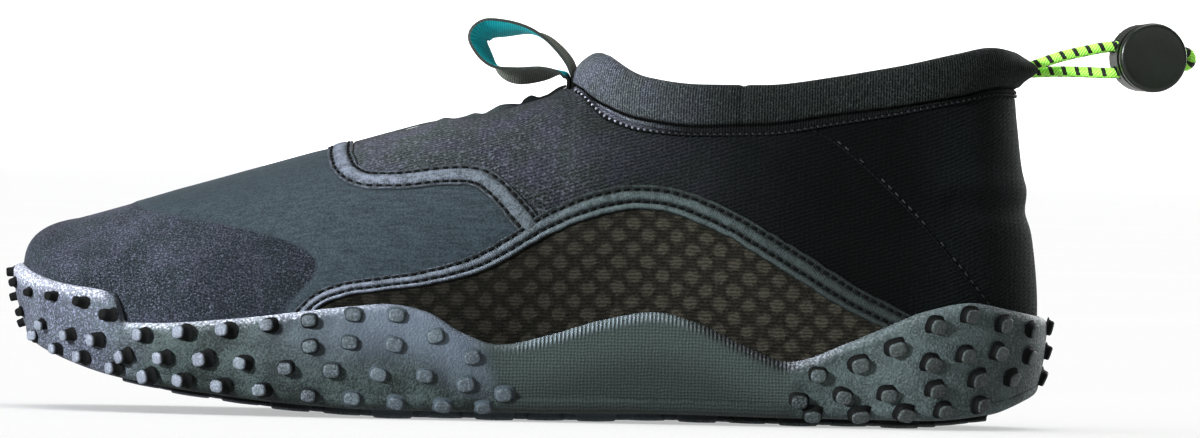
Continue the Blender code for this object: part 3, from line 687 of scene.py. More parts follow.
def trace(side, flat_points, step):
    """Line on the upper that shows as a smooth curve through side-view points."""
    flat = curve_through(flat_points, step)
    spots = np.array([locate(side, x, z) for x, z in flat])
    return hull_trace(side, spots[:, 0], spots[:, 1], step)


def distance_to(line, x, z):
    """Distance in the side view from many points to a line of short pieces."""
    best = np.full(np.shape(x), 1e9)
    for (ax, az), (bx, bz) in zip(line, line[1:]):
        dx, dz = bx - ax, bz - az
        t = np.clip(((x - ax) * dx + (z - az) * dz) / (dx * dx + dz * dz), 0, 1)
        best = np.minimum(best, np.hypot(x - ax - t * dx, z - az - t * dz))
    return best


def inside(polygon, x, z):
    """True for the points inside a side-view polygon."""
    odd = np.zeros(np.shape(x), bool)
    for (ax, az), (bx, bz) in zip(polygon, polygon[1:] + polygon[:1]):
        if az != bz:
            odd ^= ((az > z) != (bz > z)) & (x < (bx - ax) * (z - az) / (bz - az) + ax)
    return odd


def signed(polygon, line, x, z):
    """Distance to a line, positive inside the polygon that it closes."""
    return distance_to(line, x, z) * np.where(inside(polygon, x, z), 1, -1)


# Lines and areas of the upper in the side view
SIDE_LINE, FRONT_LINE, TOE_LINE, COUNTER_LINE = [
    [tuple(point) for point in curve_through(points, step)]
    for points, step in ((STRAP_SIDE, 3.0), (STRAP_FRONT, 2.0), (TOE_EDGE, 2.0), (COUNTER_SEAM, 4.0))
]
FAR = 200.0
TOE_AREA = TOE_LINE + [(TOE_LINE[-1][0], -FAR), (-FAR, -FAR), (-FAR, FAR), (TOE_LINE[0][0], FAR)]
NET_AREA = SIDE_LINE + [(SIDE_LINE[-1][0], -FAR), (SIDE_LINE[0][0], -FAR)]
JOINT_X = STRAP_FRONT[-1][0]
VAMP_LINE = [point for point in SIDE_LINE if point[0] < JOINT_X] + FRONT_LINE[::-1]
VAMP_AREA = VAMP_LINE + [(VAMP_LINE[-1][0], FAR), (-FAR, FAR), (-FAR, -FAR), (VAMP_LINE[0][0], -FAR)]


def sag(x, top):
    """How far the instep lies below the last, at a distance from its ridge."""
    return INSTEP_SAG * ease(x, *SAG_FRONT) * ease(x, *SAG_BACK) * ease(top, *SAG_REACH)


def relief(x, z, top):
    """Height of the upper's skin over the last: film edge, seams, straps' troughs, mesh panel and creases."""
    toe = signed(TOE_AREA, TOE_LINE, x, z)
    vamp = signed(VAMP_AREA, VAMP_LINE, x, z)
    net = signed(NET_AREA, SIDE_LINE, x, z)
    strap = np.minimum(distance_to(SIDE_LINE, x, z), distance_to(FRONT_LINE, x, z))
    counter = distance_to(COUNTER_LINE, x, z)
    lift = FILM_LIFT * ease(np.minimum(vamp, -toe), -0.5, 0.5) - sag(x, top)
    lift -= STRAP_TROUGH.depth * bell(strap, STRAP_TROUGH.width)
    lift -= COUNTER_TROUGH.depth * bell(counter, COUNTER_TROUGH.width)
    lift -= COLLAR_TROUGH.depth * bell(top, COLLAR_TROUGH.width) * (x > COLLAR_FRONT_X - 3)
    lift += ease(net, 2.0, 10.0) * NET_SWELL
    for fold in CREASES:
        for rise, height in ((0.0, -fold.depth), (RIDGE_RISE * fold.width, RIDGE_SHARE * fold.depth)):
            line = [(fold.x, fold.z + rise), (fold.to_x, fold.to_z + rise)]
            lift += height * bell(distance_to(line, x, z), fold.width)
    return lift, toe, vamp, net


def add_object(name, data):
    """An object in the scene with the given mesh, lamp or camera."""
    obj = bpy.data.objects.new(name, data)
    bpy.context.scene.collection.objects.link(obj)
    return obj


def new_piece(name, points, faces, looks, uv=None, fields=None, face_looks=None, weld=0.0, sharp=None):
    """Mesh object from points in millimetres, with its materials, weave coordinates and point fields."""
    mesh = bpy.data.meshes.new(name)
    mesh.from_pydata((np.reshape(points, (-1, 3)) * MM).tolist(), [], faces)
    for look in looks:
        mesh.materials.append(look)
    if face_looks is not None:
        mesh.polygons.foreach_set("material_index", np.asarray(face_looks, np.int32))
    if uv is not None:
        corners = np.empty(len(mesh.loops), np.int32)
        mesh.loops.foreach_get("vertex_index", corners)
        layer = mesh.uv_layers.new(name="weave")
        layer.data.foreach_set("uv", np.reshape(uv, (-1, 2)).astype(np.float32)[corners].ravel())
    for field, values in (fields or {}).items():
        layer = mesh.attributes.new(field, "FLOAT", "POINT")
        layer.data.foreach_set("value", np.ravel(values).astype(np.float32))
    bm = bmesh.new()
    bm.from_mesh(mesh)
    if weld:
        bmesh.ops.remove_doubles(bm, verts=bm.verts, dist=weld * MM)
    bmesh.ops.recalc_face_normals(bm, faces=bm.faces)
    bm.to_mesh(mesh)
    bm.free()
    mesh.shade_smooth()
    if sharp is not None:
        mesh.set_sharp_from_angle(angle=math.radians(sharp))
    return add_object(name, mesh)


def settle(obj, slot, *nodes, body="shoe"):
    """Says what body a piece rides on and which nodes it stands for; its slot, the finish it names, is not
    used.
    """
    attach(obj, body)
    if nodes:
        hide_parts(*nodes)
    return obj


def ring_faces(count, sides, looped):
    """Quads between rings of points; a run that isn't looped gets a cap at each end."""
    last = count if looped else count - 1
    i, j = np.meshgrid(np.arange(last), np.arange(sides), indexing="ij")
    after, aside = (i + 1) % count, (j + 1) % sides
    quads = np.stack([i * sides + j, i * sides + aside, after * sides + aside, after * sides + j], -1)
    faces = quads.reshape(-1, 4).tolist()
    if not looped:
        faces += [list(range(sides)), list(range((count - 1) * sides, count * sides))]
    return faces


def shifted(faces, count):
    """The same faces on points that come count places later."""
    return [[v + count for v in face] for face in faces]


def loop_quads(count, rows):
    """Quads between the columns of a closed loop, each column a run of points from end to end."""
    i, j = np.meshgrid(np.arange(count), np.arange(rows - 1), indexing="ij")
    here, after = i * rows + j, (i + 1) % count * rows + j
    return np.stack([here, after, after + 1, here + 1], -1).reshape(-1, 4)


def cross_faces(count, rows):
    """Faces that close both rims of such a loop, straight across from side to side."""
    faces = []
    for row in (0, rows - 1):
        for a in range(count // 2 - 1):
            b = count - 1 - a
            faces.append([a * rows + row, (a + 1) * rows + row, (b - 1) * rows + row, b * rows + row])
    return faces


def joined_sides(sides):
    """Arrays of both sides joined to one loop, along the first side and back along the second."""
    return [np.concatenate([one, other[::-1]]) for one, other in zip(*sides)]


def pairs(along, across):
    """Weave coordinates of rings of points, one ring for each value along."""
    return np.stack(np.meshgrid(along, across, indexing="ij"), -1).reshape(-1, 2)


def turned(profile, sides, square=1.0):
    """Closed turned shape along +Z from (radius, height) rings; square under 1 makes its plan squarer."""
    turn = full_turn(sides)
    plan = squarer(np.stack([np.cos(turn), np.sin(turn)], 1), square)
    rings = [np.column_stack([plan * radius, np.full(sides, height)]) for radius, height in profile]
    return np.concatenate(rings), ring_faces(len(profile), sides, False)


def scatter(points, faces, origins, axes):
    """Joined copies of one small shape; axes hold each copy's x, y and z directions as rows."""
    placed = np.array(origins)[:, None, :] + np.einsum("kc,ncd->nkd", points, np.array(axes))
    joined = [face for n in range(len(origins)) for face in shifted(faces, n * len(points))]
    return placed.reshape(-1, 3), joined


# Materials


def colour(code):
    """Linear colour of a six-digit hex code."""
    parts = np.array([int(code[i:i + 2], 16) / 255 for i in (0, 2, 4)])
    linear = np.where(parts > 0.04045, ((parts + 0.055) / 1.055) ** 2.4, parts / 12.92)
    return (*linear.tolist(), 1.0)


class Value:
    """A number or colour that a material's node gives, with the usual operators."""

    def __init__(self, look, socket):
        self.look = look
        self.socket = socket

    def __add__(self, other):
        return self.look.math("ADD", self, other)

    def __sub__(self, other):
        return self.look.math("SUBTRACT", self, other)

    def __mul__(self, other):
        return self.look.math("MULTIPLY", self, other)

    def __abs__(self):
        return self.look.math("ABSOLUTE", self)


class Look:
    """A Principled material with short calls for the nodes that feed it; colours may be hex codes."""

    def __init__(self, name, **constants):
        self.material = bpy.data.materials.new(name)
        self.material.use_nodes = True
        self.nodes = self.material.node_tree.nodes
        self.links = self.material.node_tree.links
        self.shader = self.nodes["Principled BSDF"]
        for socket, value in constants.items():
            self.shader.inputs[socket.replace("_", " ")].default_value = value

    def put(self, socket, value):
        if isinstance(value, Value):
            self.links.new(value.socket, socket)
        else:
            socket.default_value = colour(value) if isinstance(value, str) else value

    def node(self, kind, output, inputs, **settings):
        """Adds a node with its settings and inputs, and gives one of its outputs."""
        node = self.nodes.new("ShaderNode" + kind)
        for name, setting in settings.items():
            setattr(node, name, setting)
        for socket, value in inputs.items():
            self.put(node.inputs[socket], value)
        return Value(self, node.outputs[output])

    def math(self, operation, a, b=0.0):
        return self.node("Math", 0, {0: a, 1: b}, operation=operation)

    def step(self, value, low, high):
        """Smooth step of a value from 0 at low to 1 at high."""
        inputs = {"Value": value, "From Min": low, "From Max": high}
        return self.node("MapRange", "Result", inputs, interpolation_type="SMOOTHSTEP")

    def blend(self, factor, a, b):
        """Mix of two colours."""
        return self.node("Mix", 2, {0: factor, 6: a, 7: b}, data_type="RGBA")

    def between(self, factor, a, b):
        """Mix of two numbers."""
        return self.node("Mix", 0, {0: factor, 2: a, 3: b})

    def weave(self):
        """The two weave coordinates."""
        place = self.node("UVMap", 0, {}, uv_map="weave")
        return [self.node("SeparateXYZ", axis, {0: place}) for axis in (0, 1)]

    def length(self):
        """Place along the shoe, in millimetres."""
        return self.node("SeparateXYZ", 0, {0: self.node("TexCoord", "Object", {})}) * (1 / MM)

    def field(self, name):
        """One of the piece's point fields."""
        return self.node("Attribute", "Fac", {}, attribute_name=name)

    def noise(self, size, detail=2.0, stretch=(1, 1, 1)):
        """Noise whose grains are about the given size in millimetres."""
        scale = [part / (size * MM) for part in stretch]
        place = self.node("Mapping", 0, {"Vector": self.node("TexCoord", "Object", {}), "Scale": scale})
        return self.node("TexNoise", "Fac", {"Vector": place, "Scale": 1.0, "Detail": detail})

    def flecks(self, size, low, high, detail=3.0):
        """Noise with its contrast raised: 0 below low and 1 above high."""
        return self.step(self.noise(size, detail), low, high)

    def wave(self, value, pitch):
        """Wave from 0 to 1 along a value, one crest each pitch."""
        return self.math("SINE", value * (2 * math.pi / pitch)) * 0.5 + 0.5

    def paint(self, value):
        self.put(self.shader.inputs["Base Color"], value)

    def rough(self, value):
        self.put(self.shader.inputs["Roughness"], value)

    def bump(self, height, depth):
        """Relief of a height from 0 to 1, over a depth in millimetres."""
        normal = self.node("Bump", 0, {"Distance": depth * MM, "Height": height})
        self.put(self.shader.inputs["Normal"], normal)


def jersey(look, pitch, slant=0.0, clear=0.25):
    """Fine knit of small loops with flecks of pale thread; gives a tone and a height, both from 0 to 1.

    slant tilts the rows of loops, and clear is their share of the tone.
    """
    u, v = look.weave()
    rows = look.wave(v + u * slant + look.noise(6.0) * 1.2, pitch)
    loops = look.wave(u + rows * (pitch * 0.5), pitch * 1.2)
    knit = rows * 0.65 + loops * 0.35
    flecks = look.flecks(0.55, 0.43, 0.69)
    patches = look.flecks(22.0, 0.3, 0.75)
    tone = flecks * (0.8 - clear) + (patches * 0.2 + knit * clear)
    return tone, knit + flecks * 0.5


def painted_falloff(look, tone, deep, lit_pair, start, end):
    """Cloth with painted light falloff: deep black in painted shade behind start, and pale in painted light
    before end; each pair is dark and pale.
    """
    lit_share = look.step(look.length(), start, end)
    return look.blend(lit_share, look.blend(tone, *deep), look.blend(tone, *lit_pair))


def make_quarter():
    """Jersey of the upper's rear: pale in painted light in front, deep black in painted shade behind, with a
    pale strip and dark beads at its seam.
    """
    look = Look("quarter_knit", Roughness=0.85, Sheen_Weight=0.04, Sheen_Roughness=0.5,
                Specular_IOR_Level=0.06)
    tone, height = jersey(look, 1.12, slant=-0.3, clear=0.42)
    x = look.length()
    seam = look.field("seam")
    pale = look.blend(look.flecks(8.0, 0.38, 0.62), "525958", "5a5c66")
    # Painted light falloff: pale where the light falls at the front, deep black in painted shade towards the
    # heel.
    cloth = painted_falloff(look, tone, ("030404", "111414"), ("0f1113", pale), 80.0, -42.0)
    specks = look.flecks(0.8, 0.5, 0.7) * look.step(x, 40.0, -20.0)
    cloth = look.blend(specks * 0.35, cloth, "868a95")
    heel = look.step(x, 96.0, 130.0) * (tone * 0.6 + 0.1)
    cloth = look.blend(heel, cloth, "343b3b")
    strip = look.step(seam, 1.05, 0.9) * look.step(x, 36.0, 18.0)
    cloth = look.blend(strip * (tone * 0.7 + 0.1), cloth, "8b8d9b")
    beads = look.step(abs(seam - 1.0), 0.32, 0.18)
    look.paint(look.blend(beads * 0.9, cloth, "060708"))
    look.bump(height, 0.2)
    return look.material


def make_vamp():
    """Front of the upper: brushed film, and the knitted patch on the toe."""
    look = Look("vamp_film_and_toe", Sheen_Weight=0.04, Sheen_Roughness=0.5, Specular_IOR_Level=0.12)
    tone, knit = jersey(look, 0.95, slant=0.2, clear=0.22)
    grain = look.noise(0.5, 3.0)
    brushed = look.noise(0.8, 2.0, stretch=(0.12, 1, 1))
    film = look.blend(look.step(grain + brushed * 0.5, 0.4, 1.1), "1f262a", "3f494e")
    pale = look.blend(look.flecks(9.0, 0.38, 0.62), "3e474c", "4f525e")
    cloth = look.blend(tone, "0d0f12", pale)
    cloth = look.blend(look.flecks(0.45, 0.52, 0.72, detail=2.0) * 0.48, cloth, "7c8090")
    # Painted shade: the toe patch darkens towards the back, away from the light.
    cloth = look.blend(look.step(look.length(), -112.0, -64.0) * 0.4, cloth, "14191c")
    toe = look.step(look.field("toe"), -0.6, 0.6)
    look.paint(look.blend(toe, film, cloth))
    look.rough(look.between(toe, 0.56, 0.86))
    look.bump(look.between(toe, (grain + brushed) * 0.25, knit), 0.16)
    return look.material


def make_net():
    """Open mesh: soft cells on a diagonal lattice, crossed by level threads."""
    look = Look("open_mesh", Roughness=0.8, Specular_IOR_Level=0.06)
    u, v = look.weave()
    warp = look.noise(5.0, 2.0)
    along = (u + warp * 2.2) * (1 / NET_PITCH)
    across = (v + warp * -1.4) * (0.5 / NET_ROW)
    lattice = look.wave(along + across + 0.25, 1.0) * look.wave(along - across + 0.25, 1.0)
    fuzz = look.noise(0.8, 4.0)
    cells = look.step(lattice + fuzz * 0.55, 0.14, 0.86)
    threads = look.wave(v + look.noise(2.0) * 1.2, NET_THREAD)
    lit = (cells * 0.68 + 0.32) * (threads * 0.5 + fuzz * 0.9)
    light = look.step(look.length(), -25.0, 50.0) * 0.55 + 0.45
    look.paint(look.blend(lit * light, "090908", "46443c"))
    look.bump(cells * 0.7 + threads * 0.3, 0.35)
    return look.material


def make_lining():
    look = Look("lining_knit", Roughness=0.9, Specular_IOR_Level=0.06)
    tone, height = jersey(look, 1.1)
    look.paint(look.blend(tone, "0f1011", "313235"))
    look.bump(height, 0.2)
    return look.material


def make_band():
    """Ribbed jersey of the collar, with its sewn strip pale in front and dark behind."""
    look = Look("collar_knit", Roughness=0.85, Sheen_Weight=0.06, Sheen_Roughness=0.45,
                Specular_IOR_Level=0.06)
    u, _ = look.weave()
    x = look.length()
    strip = look.field("strip")
    ribs = look.wave(u, 0.75)
    flecks = look.flecks(0.45, 0.42, 0.75)
    pale = look.blend(look.flecks(8.0, 0.38, 0.62), "7f8586", "888b97")
    # Painted highlight at the collar's front, fading to painted shade behind.
    cloth = painted_falloff(look, ribs * 0.3 + flecks * 0.6, ("0a0c0c", "424946"), ("2b2e33", pale), 56.0, 5.0)
    cloth = look.blend(strip * look.step(x, 36.0, 18.0) * (flecks * 0.5 + 0.2), cloth, "8b8e99")
    cloth = look.blend(strip * look.step(x, 24.0, 42.0) * 0.75, cloth, "0d0f0f")
    look.paint(look.blend(look.step(look.field("seam"), 0.25, 0.7), cloth, "050606"))
    look.bump(ribs + flecks * 0.5, 0.16)
    return look.material


def make_strap():
    """Rubbed binding of the straps: pale on its crests, a painted highlight broken by rubbed wear; dark in
    its grooves; lighter in painted light towards the toe and darker in painted shade towards the heel.
    """
    look = Look("strap_binding", Specular_IOR_Level=0.25)
    u, _ = look.weave()
    x = look.length()
    height = look.field("height")
    ribs = look.wave(u, 0.6)
    grain = look.noise(0.6, 3.0)
    rubbed = grain + look.noise(2.4, 3.0) * 0.9
    # Pale crests: painted highlight on the ridges, broken by rubbed wear.
    worn = look.step(height + (rubbed + ribs * 0.08), 1.2, 2.3)
    # Painted light falloff: lighter towards the toe, darker towards the heel, on crests and in grooves.
    lit_share = look.step(x, 30.0, -50.0)
    pale = look.blend(look.step(x, 20.0, 90.0), "515c5c", "333a39")
    tone = look.blend(lit_share, look.blend(worn, "181d1c", pale), look.blend(worn, "262b2f", "777d88"))
    pit = look.blend(lit_share, "1a201f", "32383c")
    look.paint(look.blend(look.step(height, 0.48, 0.36), tone, pit))
    look.rough(look.between(grain, 0.5, 0.8))
    look.bump(ribs * 0.2 + grain, 0.25)
    return look.material


def make_thread(name, dark, pale, faint=None, fade=(38.0, 16.0)):
    """Sewing thread; faint is its pale colour behind the first place of fade, where that differs."""
    look = Look(name, Roughness=0.7, Specular_IOR_Level=0.15)
    if faint:
        pale = look.blend(look.step(look.length(), *fade), faint, pale)
    look.paint(look.blend(look.noise(0.4, 2.0), dark, pale))
    look.bump(look.noise(0.25, 2.0, stretch=(1, 1, 3)), 0.06)
    return look.material


def rubber_grain(look):
    """Moulded rubber: its clouded colour, its fine grain and a dusty sparkle."""
    grain = look.noise(0.55, 4.0)
    sparkle = look.flecks(0.6, 0.45, 0.68)
    base = look.blend(look.step(grain + look.noise(9.0, 3.0), 0.8, 1.25), "1f2625", "444f4e")
    return base, grain, sparkle


def make_rubber():
    """Rubber of the cup: painted sheen on the speckled toe, painted highlight on the crest, greenish heel,
    painted highlight along the rim, and the woven panel at the arch.
    """
    look = Look("sole_rubber", Specular_IOR_Level=0.3)
    u, v = look.weave()
    x = look.length()
    edge = look.field("edge")
    base, grain, sparkle = rubber_grain(look)
    # Painted highlight on the wall's crest, where the light catches it.
    crest = look.step(x, -85.0, -30.0) * (look.step(x, 2.0, -24.0) * look.step(edge, 20.0, 5.0))
    base = look.blend(crest * 0.6, base, "6a7380")
    base = look.blend(look.step(x, 66.0, 92.0) * (sparkle * 0.28 + 0.19), base, "7b8888")
    ends = look.step(x, -10.0, 4.0) * look.step(edge, 3.6, 1.0)
    ribs = look.wave(u, ARCH_PITCH) * ends
    lines = look.wave(v + look.noise(4.0) * 0.8, 0.85) * look.step(edge, 1.5, 4.5)
    cross = look.wave(u + look.noise(3.0) * 0.9, 0.9) * 0.4
    cloth = ribs + (lines + cross) * 0.5
    woven = look.blend((cloth + grain) * 0.5, "28302e", "4f5b58")
    # Painted highlight on the ribs near the top edge, fading towards the heel.
    woven = look.blend(ribs * (look.step(x, 46.0, 26.0) * 0.38), woven, "98a3ae")
    # Painted shadow in dark dashes along the arch panel's top edge towards the heel.
    woven = look.blend(look.step(x, 36.0, 48.0) * (ribs * 0.12 + ends * 0.85), woven, "0c100f")
    # Painted shade: the arch panel darker towards the bottom.
    woven = look.blend(look.step(edge, 6.0, 17.0) * 0.45, woven, "171d1b")
    arch = look.step(look.field("arch"), -3.0, 3.0)
    toe_end = look.step(x, -98.0, -124.0)
    speckle = look.flecks(0.6, 0.42, 0.66)
    # Painted sheen on the toe end, speckled.
    toe_sheen = (speckle * 0.5 + 0.12) * toe_end
    tint = look.blend(toe_sheen, look.blend(arch, base, woven), "9396ac")
    # Painted highlight along the top rim, ragged and speckled, strongest at the front, with a painted glint
    # at the heel cup; notch keeps it off the bumper's step.
    ragged = edge + look.noise(0.9, 3.0) * 4.0 + look.step(x, -108.0, -114.0) * -2.0
    rim = look.step(ragged, 5.2, 1.4) * (speckle * 0.7 + 0.25)
    glint = look.step(x, 65.0, 70.0) * look.step(x, 92.0, 74.0) * 0.4
    front = look.step(x, -30.0, -62.0) * 0.9 + 0.1 + glint
    notch = look.step(abs(x + 112.2), 1.5, 4.5)
    look.paint(look.blend(rim * (front * notch), tint, "d4d6e2"))
    look.rough(look.between(sparkle, 0.7, 0.5))
    look.bump(look.between(arch, grain + speckle * toe_end, cloth * 0.8 + grain * 0.4), 0.3)
    return look.material


def make_stud_rubber():
    """Rubber of the studs and lugs: sides and base rings dark in painted shade, tips near the wall's tone,
    with painted highlights on the tips at the toe and on the wall's peak.
    """
    look = Look("stud_rubber", Specular_IOR_Level=0.3)
    x = look.length()
    base, grain, sparkle = rubber_grain(look)
    # Painted highlight on the studs at the wall's crest, tips and sides.
    crest = look.step(x, -70.0, -36.0) * look.step(x, 60.0, 20.0)
    base = look.blend(crest * 0.42, base, "626b72")
    base = look.blend(look.step(x, 66.0, 92.0) * 0.3, base, "6a6e6a")
    # Painted highlight on the stud tips towards the toe, with sparkle.
    base = look.blend(sparkle * 0.2 + look.step(x, -50.0, -100.0) * 0.34, base, "a2a6b4")
    # Painted shade: dark sides and base rings round each stud.
    side = look.blend(crest, "070909", "424b50")
    tip = look.step(look.field("rise"), 1.7, 2.6)
    look.paint(look.blend(tip, side, base))
    look.rough(look.between(tip, 0.85, 0.6))
    look.bump(grain, 0.2)
    return look.material


def make_foam():
    look = Look("insole_cloth", Roughness=0.9, Specular_IOR_Level=0.06)
    u, v = look.weave()
    cross = (look.wave(u, 1.4) + look.wave(v, 1.4)) * 0.5
    look.paint(look.blend(look.noise(1.0, 3.0) * cross, "151618", "4a4b4e"))
    look.bump(cross, 0.25)
    return look.material


def make_ribbon(name, dark, pale):
    """Woven ribbon, black where its ends are sewn down."""
    look = Look(name, Roughness=0.6, Specular_IOR_Level=0.2)
    u, v = look.weave()
    weft = look.wave(v, 0.55)
    tone = weft * 0.5 + look.noise(1.5, 3.0) * 0.5
    look.paint(look.blend(look.field("tab"), look.blend(tone, dark, pale), "0a0c0b"))
    look.bump((weft + look.wave(u, 0.9)) * 0.5, 0.12)
    return look.material


def make_elastic():
    """Lime elastic with dark flecks: short slanted bars on two sides, half a pitch apart."""
    look = Look("elastic_braid", Roughness=0.6, Sheen_Weight=0.1)
    turn, along = look.weave()
    turn = look.math("FRACT", turn + 0.1)
    half = look.math("GREATER_THAN", turn, 0.5)
    bar = look.math("LESS_THAN", look.math("FRACT", along + half * 0.5 + turn * -0.7), 0.32)
    across = abs(look.math("FRACT", turn * 2.0) - 0.5)
    fleck = bar * look.math("LESS_THAN", across, 0.43)
    strands = look.wave(turn * 8.0 + along * 4.0, 1.0)
    look.paint(look.blend(fleck, look.blend(strands, "84dd36", "c0f47e"), "10180c"))
    look.bump(strands, 0.12)
    return look.material


def make_plastic():
    look = Look("lock_plastic", Specular_IOR_Level=0.5)
    grain = look.noise(0.35, 3.0)
    look.paint(look.blend(look.noise(5.0, 3.0), "1b1f1a", "282d26"))
    look.rough(look.between(grain, 0.2, 0.38))
    look.bump(grain, 0.04)
    return look.material


def make_floor_look():
    look = Look("pale_floor", Roughness=0.9)
    look.paint(look.blend(look.noise(400.0, 2.0), "f4f4f4", "f8f8f8"))
    return look.material


# Pieces


def make_upper():
    """Outer skin of the upper with its panels, thickened inwards; the inner face is the lining."""
    p = np.linspace(0, 1, SKIN_RIBS)
    sides = []
    for side in SIDES:
        foot = (np.interp(p, RIBS, GRIDS[side].wall) - SKIN_TUCK)[:, None]
        hidden = foot * np.linspace(0, 1, HIDDEN_LEVELS + 1)[:-1]
        shown = foot + (1 - foot) * np.linspace(0, 1, SKIN_LEVELS)
        h = np.concatenate([hidden, shown], 1)
        ribs = np.repeat(p[:, None], h.shape[1], 1)
        flat, _ = on_hull(side, ribs, h)
        run = read_grid(GRIDS[side].run, ribs, h)
        top = run[:, -1:] - run
        lift, toe, vamp, net = relief(flat[..., 0], flat[..., 2], top)
        points, _ = on_hull(side, ribs, h, lift)
        beads = np.interp(p, RIBS, bead_reach(side))[:, None]
        seam = np.where(flat[:, -1:, 0] > COLLAR_FRONT_X, top / beads, FAR)
        sides.append((points, np.stack([flat[..., 0], run], -1), toe, vamp, net, seam))
    points, uv, toe, vamp, net, seam = joined_sides(sides)
    quads = loop_quads(*points.shape[:2])
    of_vamp, of_net = [field.ravel()[quads].mean(1) > 0 for field in (vamp, net)]
    looks = [make_vamp(), make_quarter(), make_net()] + [make_lining()] * 3
    worn = np.where(of_net, 2, np.where(of_vamp, 0, 1))
    obj = new_piece("upper_skin", points, quads.tolist(), looks, uv=uv, face_looks=worn, weld=WELD,
                    fields={"toe": toe, "seam": seam})
    wall = obj.modifiers.new("wall", "SOLIDIFY")
    wall.thickness = UPPER_WALL * MM
    wall.offset = -1
    wall.material_offset = 3
    wall.material_offset_rim = 3
    return settle(obj, "neoprene", "upper")


def strap_mesh(lines, section, widths, dive):
    """Closed strips with a strap's section along lines on the upper; dive is how deep their end sinks."""
    at, height = np.array(section).T
    random = np.random.default_rng(SEED)
    points, faces, uv, heights = [], [], [], []
    count = 0
    for line in lines:
        run = np.arange(len(line.points)) * STRAP_STEP
        knots = np.arange(0, run[-1] + 2 * STRAP_WAVE, STRAP_WAVE)
        wander, swell = [np.interp(run, knots, random.normal(0, 1, len(knots))) for _ in range(2)]
        scale = smooth(widths, "scale", line.points[:, 0]) * (1 + STRAP_SWELL * swell)
        wide = scale[:, None] * at + STRAP_WANDER * wander[:, None]
        high = height - dive * ease(run[-1] - run, DIVE_FROM, DIVE_FULL)[:, None]
        points.append(beside(line, wide, high).reshape(-1, 3))
        uv.append(pairs(run, at))
        heights.append(np.tile(height, len(run)))
        faces += shifted(ring_faces(len(run), len(at), False), count)
        count += len(run) * len(at)
    return np.concatenate(points), faces, np.concatenate(uv), np.concatenate(heights)


def make_straps(name, flat_points, section, widths, look, dive=0.0):
    """A strap on both sides of the shoe; gives the lines that it follows."""
    lines = [trace(side, flat_points, STRAP_STEP) for side in SIDES]
    points, faces, uv, heights = strap_mesh(lines, section, widths, dive)
    obj = new_piece(name, points, faces, [look], uv=uv, fields={"height": heights}, sharp=70)
    settle(obj, "rubber")
    return lines


def stitches(line, kind, across=0.0):
    """Origins and axes of a row of stitches; across moves it aside by one number or one for each point."""
    run = run_along(line.points)
    at = np.arange(kind.pitch * kind.start, run[-1], kind.pitch)
    at = at[np.random.default_rng(SEED).uniform(size=len(at)) < kind.keep]
    points = read_along(line.points, run, at)
    up, forward, aside = [unit(read_along(array, run, at)) for array in line[1:]]
    offset = np.interp(at, run, np.broadcast_to(kind.across + across, run.shape))
    origins = points + aside * offset[:, None] + up * kind.lift
    return origins, np.stack([aside * kind.thick, up * kind.thick, forward * kind.length], 1)


def make_stitches(name, rows, look):
    """One piece of many joined stitches."""
    shape, faces = turned(STITCH_SHAPE, STITCH_SIDES)
    origins, axes = [np.concatenate(parts) for parts in zip(*rows)]
    points, joined = scatter(shape, faces, origins, axes)
    return settle(new_piece(name, points, joined, [look]), "neoprene")


def bead_reach(side):
    """Distance of the row of beads from the top of each rib."""
    grid = GRIDS[side]
    top = grid.points[:, -1]
    level = top[:, 2] - smooth(BEAD_ROW, "z", top[:, 0])
    heights = np.maximum.accumulate(grid.points[..., 2], axis=1)
    at = np.array([np.interp(z, row, run) for z, row, run in zip(level, heights, grid.run)])
    return np.minimum(grid.run[:, -1] - at, BEAD_LIMIT)


def collar_line(side):
    """Line of the beads on the upper, below the collar seam."""
    rows = np.flatnonzero(GRIDS[side].points[:, -1, 0] > COLLAR_FRONT_X + 0.4)
    reach = GRIDS[side].run[rows, -1] - bead_reach(side)[rows]
    h = np.array([np.interp(at, GRIDS[side].run[row], LEVELS) for at, row in zip(reach, rows)])
    return hull_trace(side, RIBS[rows], h, BEAD_STEP)


def make_seams(front_lines, side_lines):
    """Threads of the straps, of the seam under the collar, and of the heel counter."""
    dark = make_thread("thread_black", "040505", "101212")
    grey = make_thread("thread_grey", "34353a", "c2c4d0", "232727")
    dim = make_thread("thread_dim", "17191a", "424546")
    rows = []
    straps = ((front_lines, FRONT_GROOVES, FRONT_WIDTHS, 7), (side_lines, SIDE_GROOVES, SIDE_WIDTHS, 6))
    for lines, grooves, widths, cut in straps:
        for line in lines:
            kept = Trace(*[array[:-cut] for array in line])
            scale = smooth(widths, "scale", kept.points[:, 0])
            rows += [stitches(kept, STRAP_THREAD, groove * scale) for groove in grooves]
    make_stitches("strap_stitches", rows, dark)
    collar = [collar_line(side) for side in SIDES]
    counter = [trace(side, COUNTER_SEAM, 1.0) for side in SIDES]
    for name, lines, kind, look in (("collar_beads", collar, COLLAR_BEAD, grey),
                                    ("collar_stitches", collar, COLLAR_THREAD, dark),
                                    ("counter_seam", counter, COUNTER_THREAD, dark),
                                    ("counter_stitches", counter, COUNTER_STITCH, dim)):
        make_stitches(name, [stitches(line, kind) for line in lines], look)


def arch_field(x, z):
    """Distance into the ribbed arch panel of the sole, positive inside it, in the side view."""
    front = x - ARCH_FRONT.x - (ARCH_FRONT.z - z) * ARCH_FRONT.lean
    back = ARCH_BACK.x - (ARCH_BACK.z - z) * ARCH_BACK.lean - x
    return np.minimum(front, back)


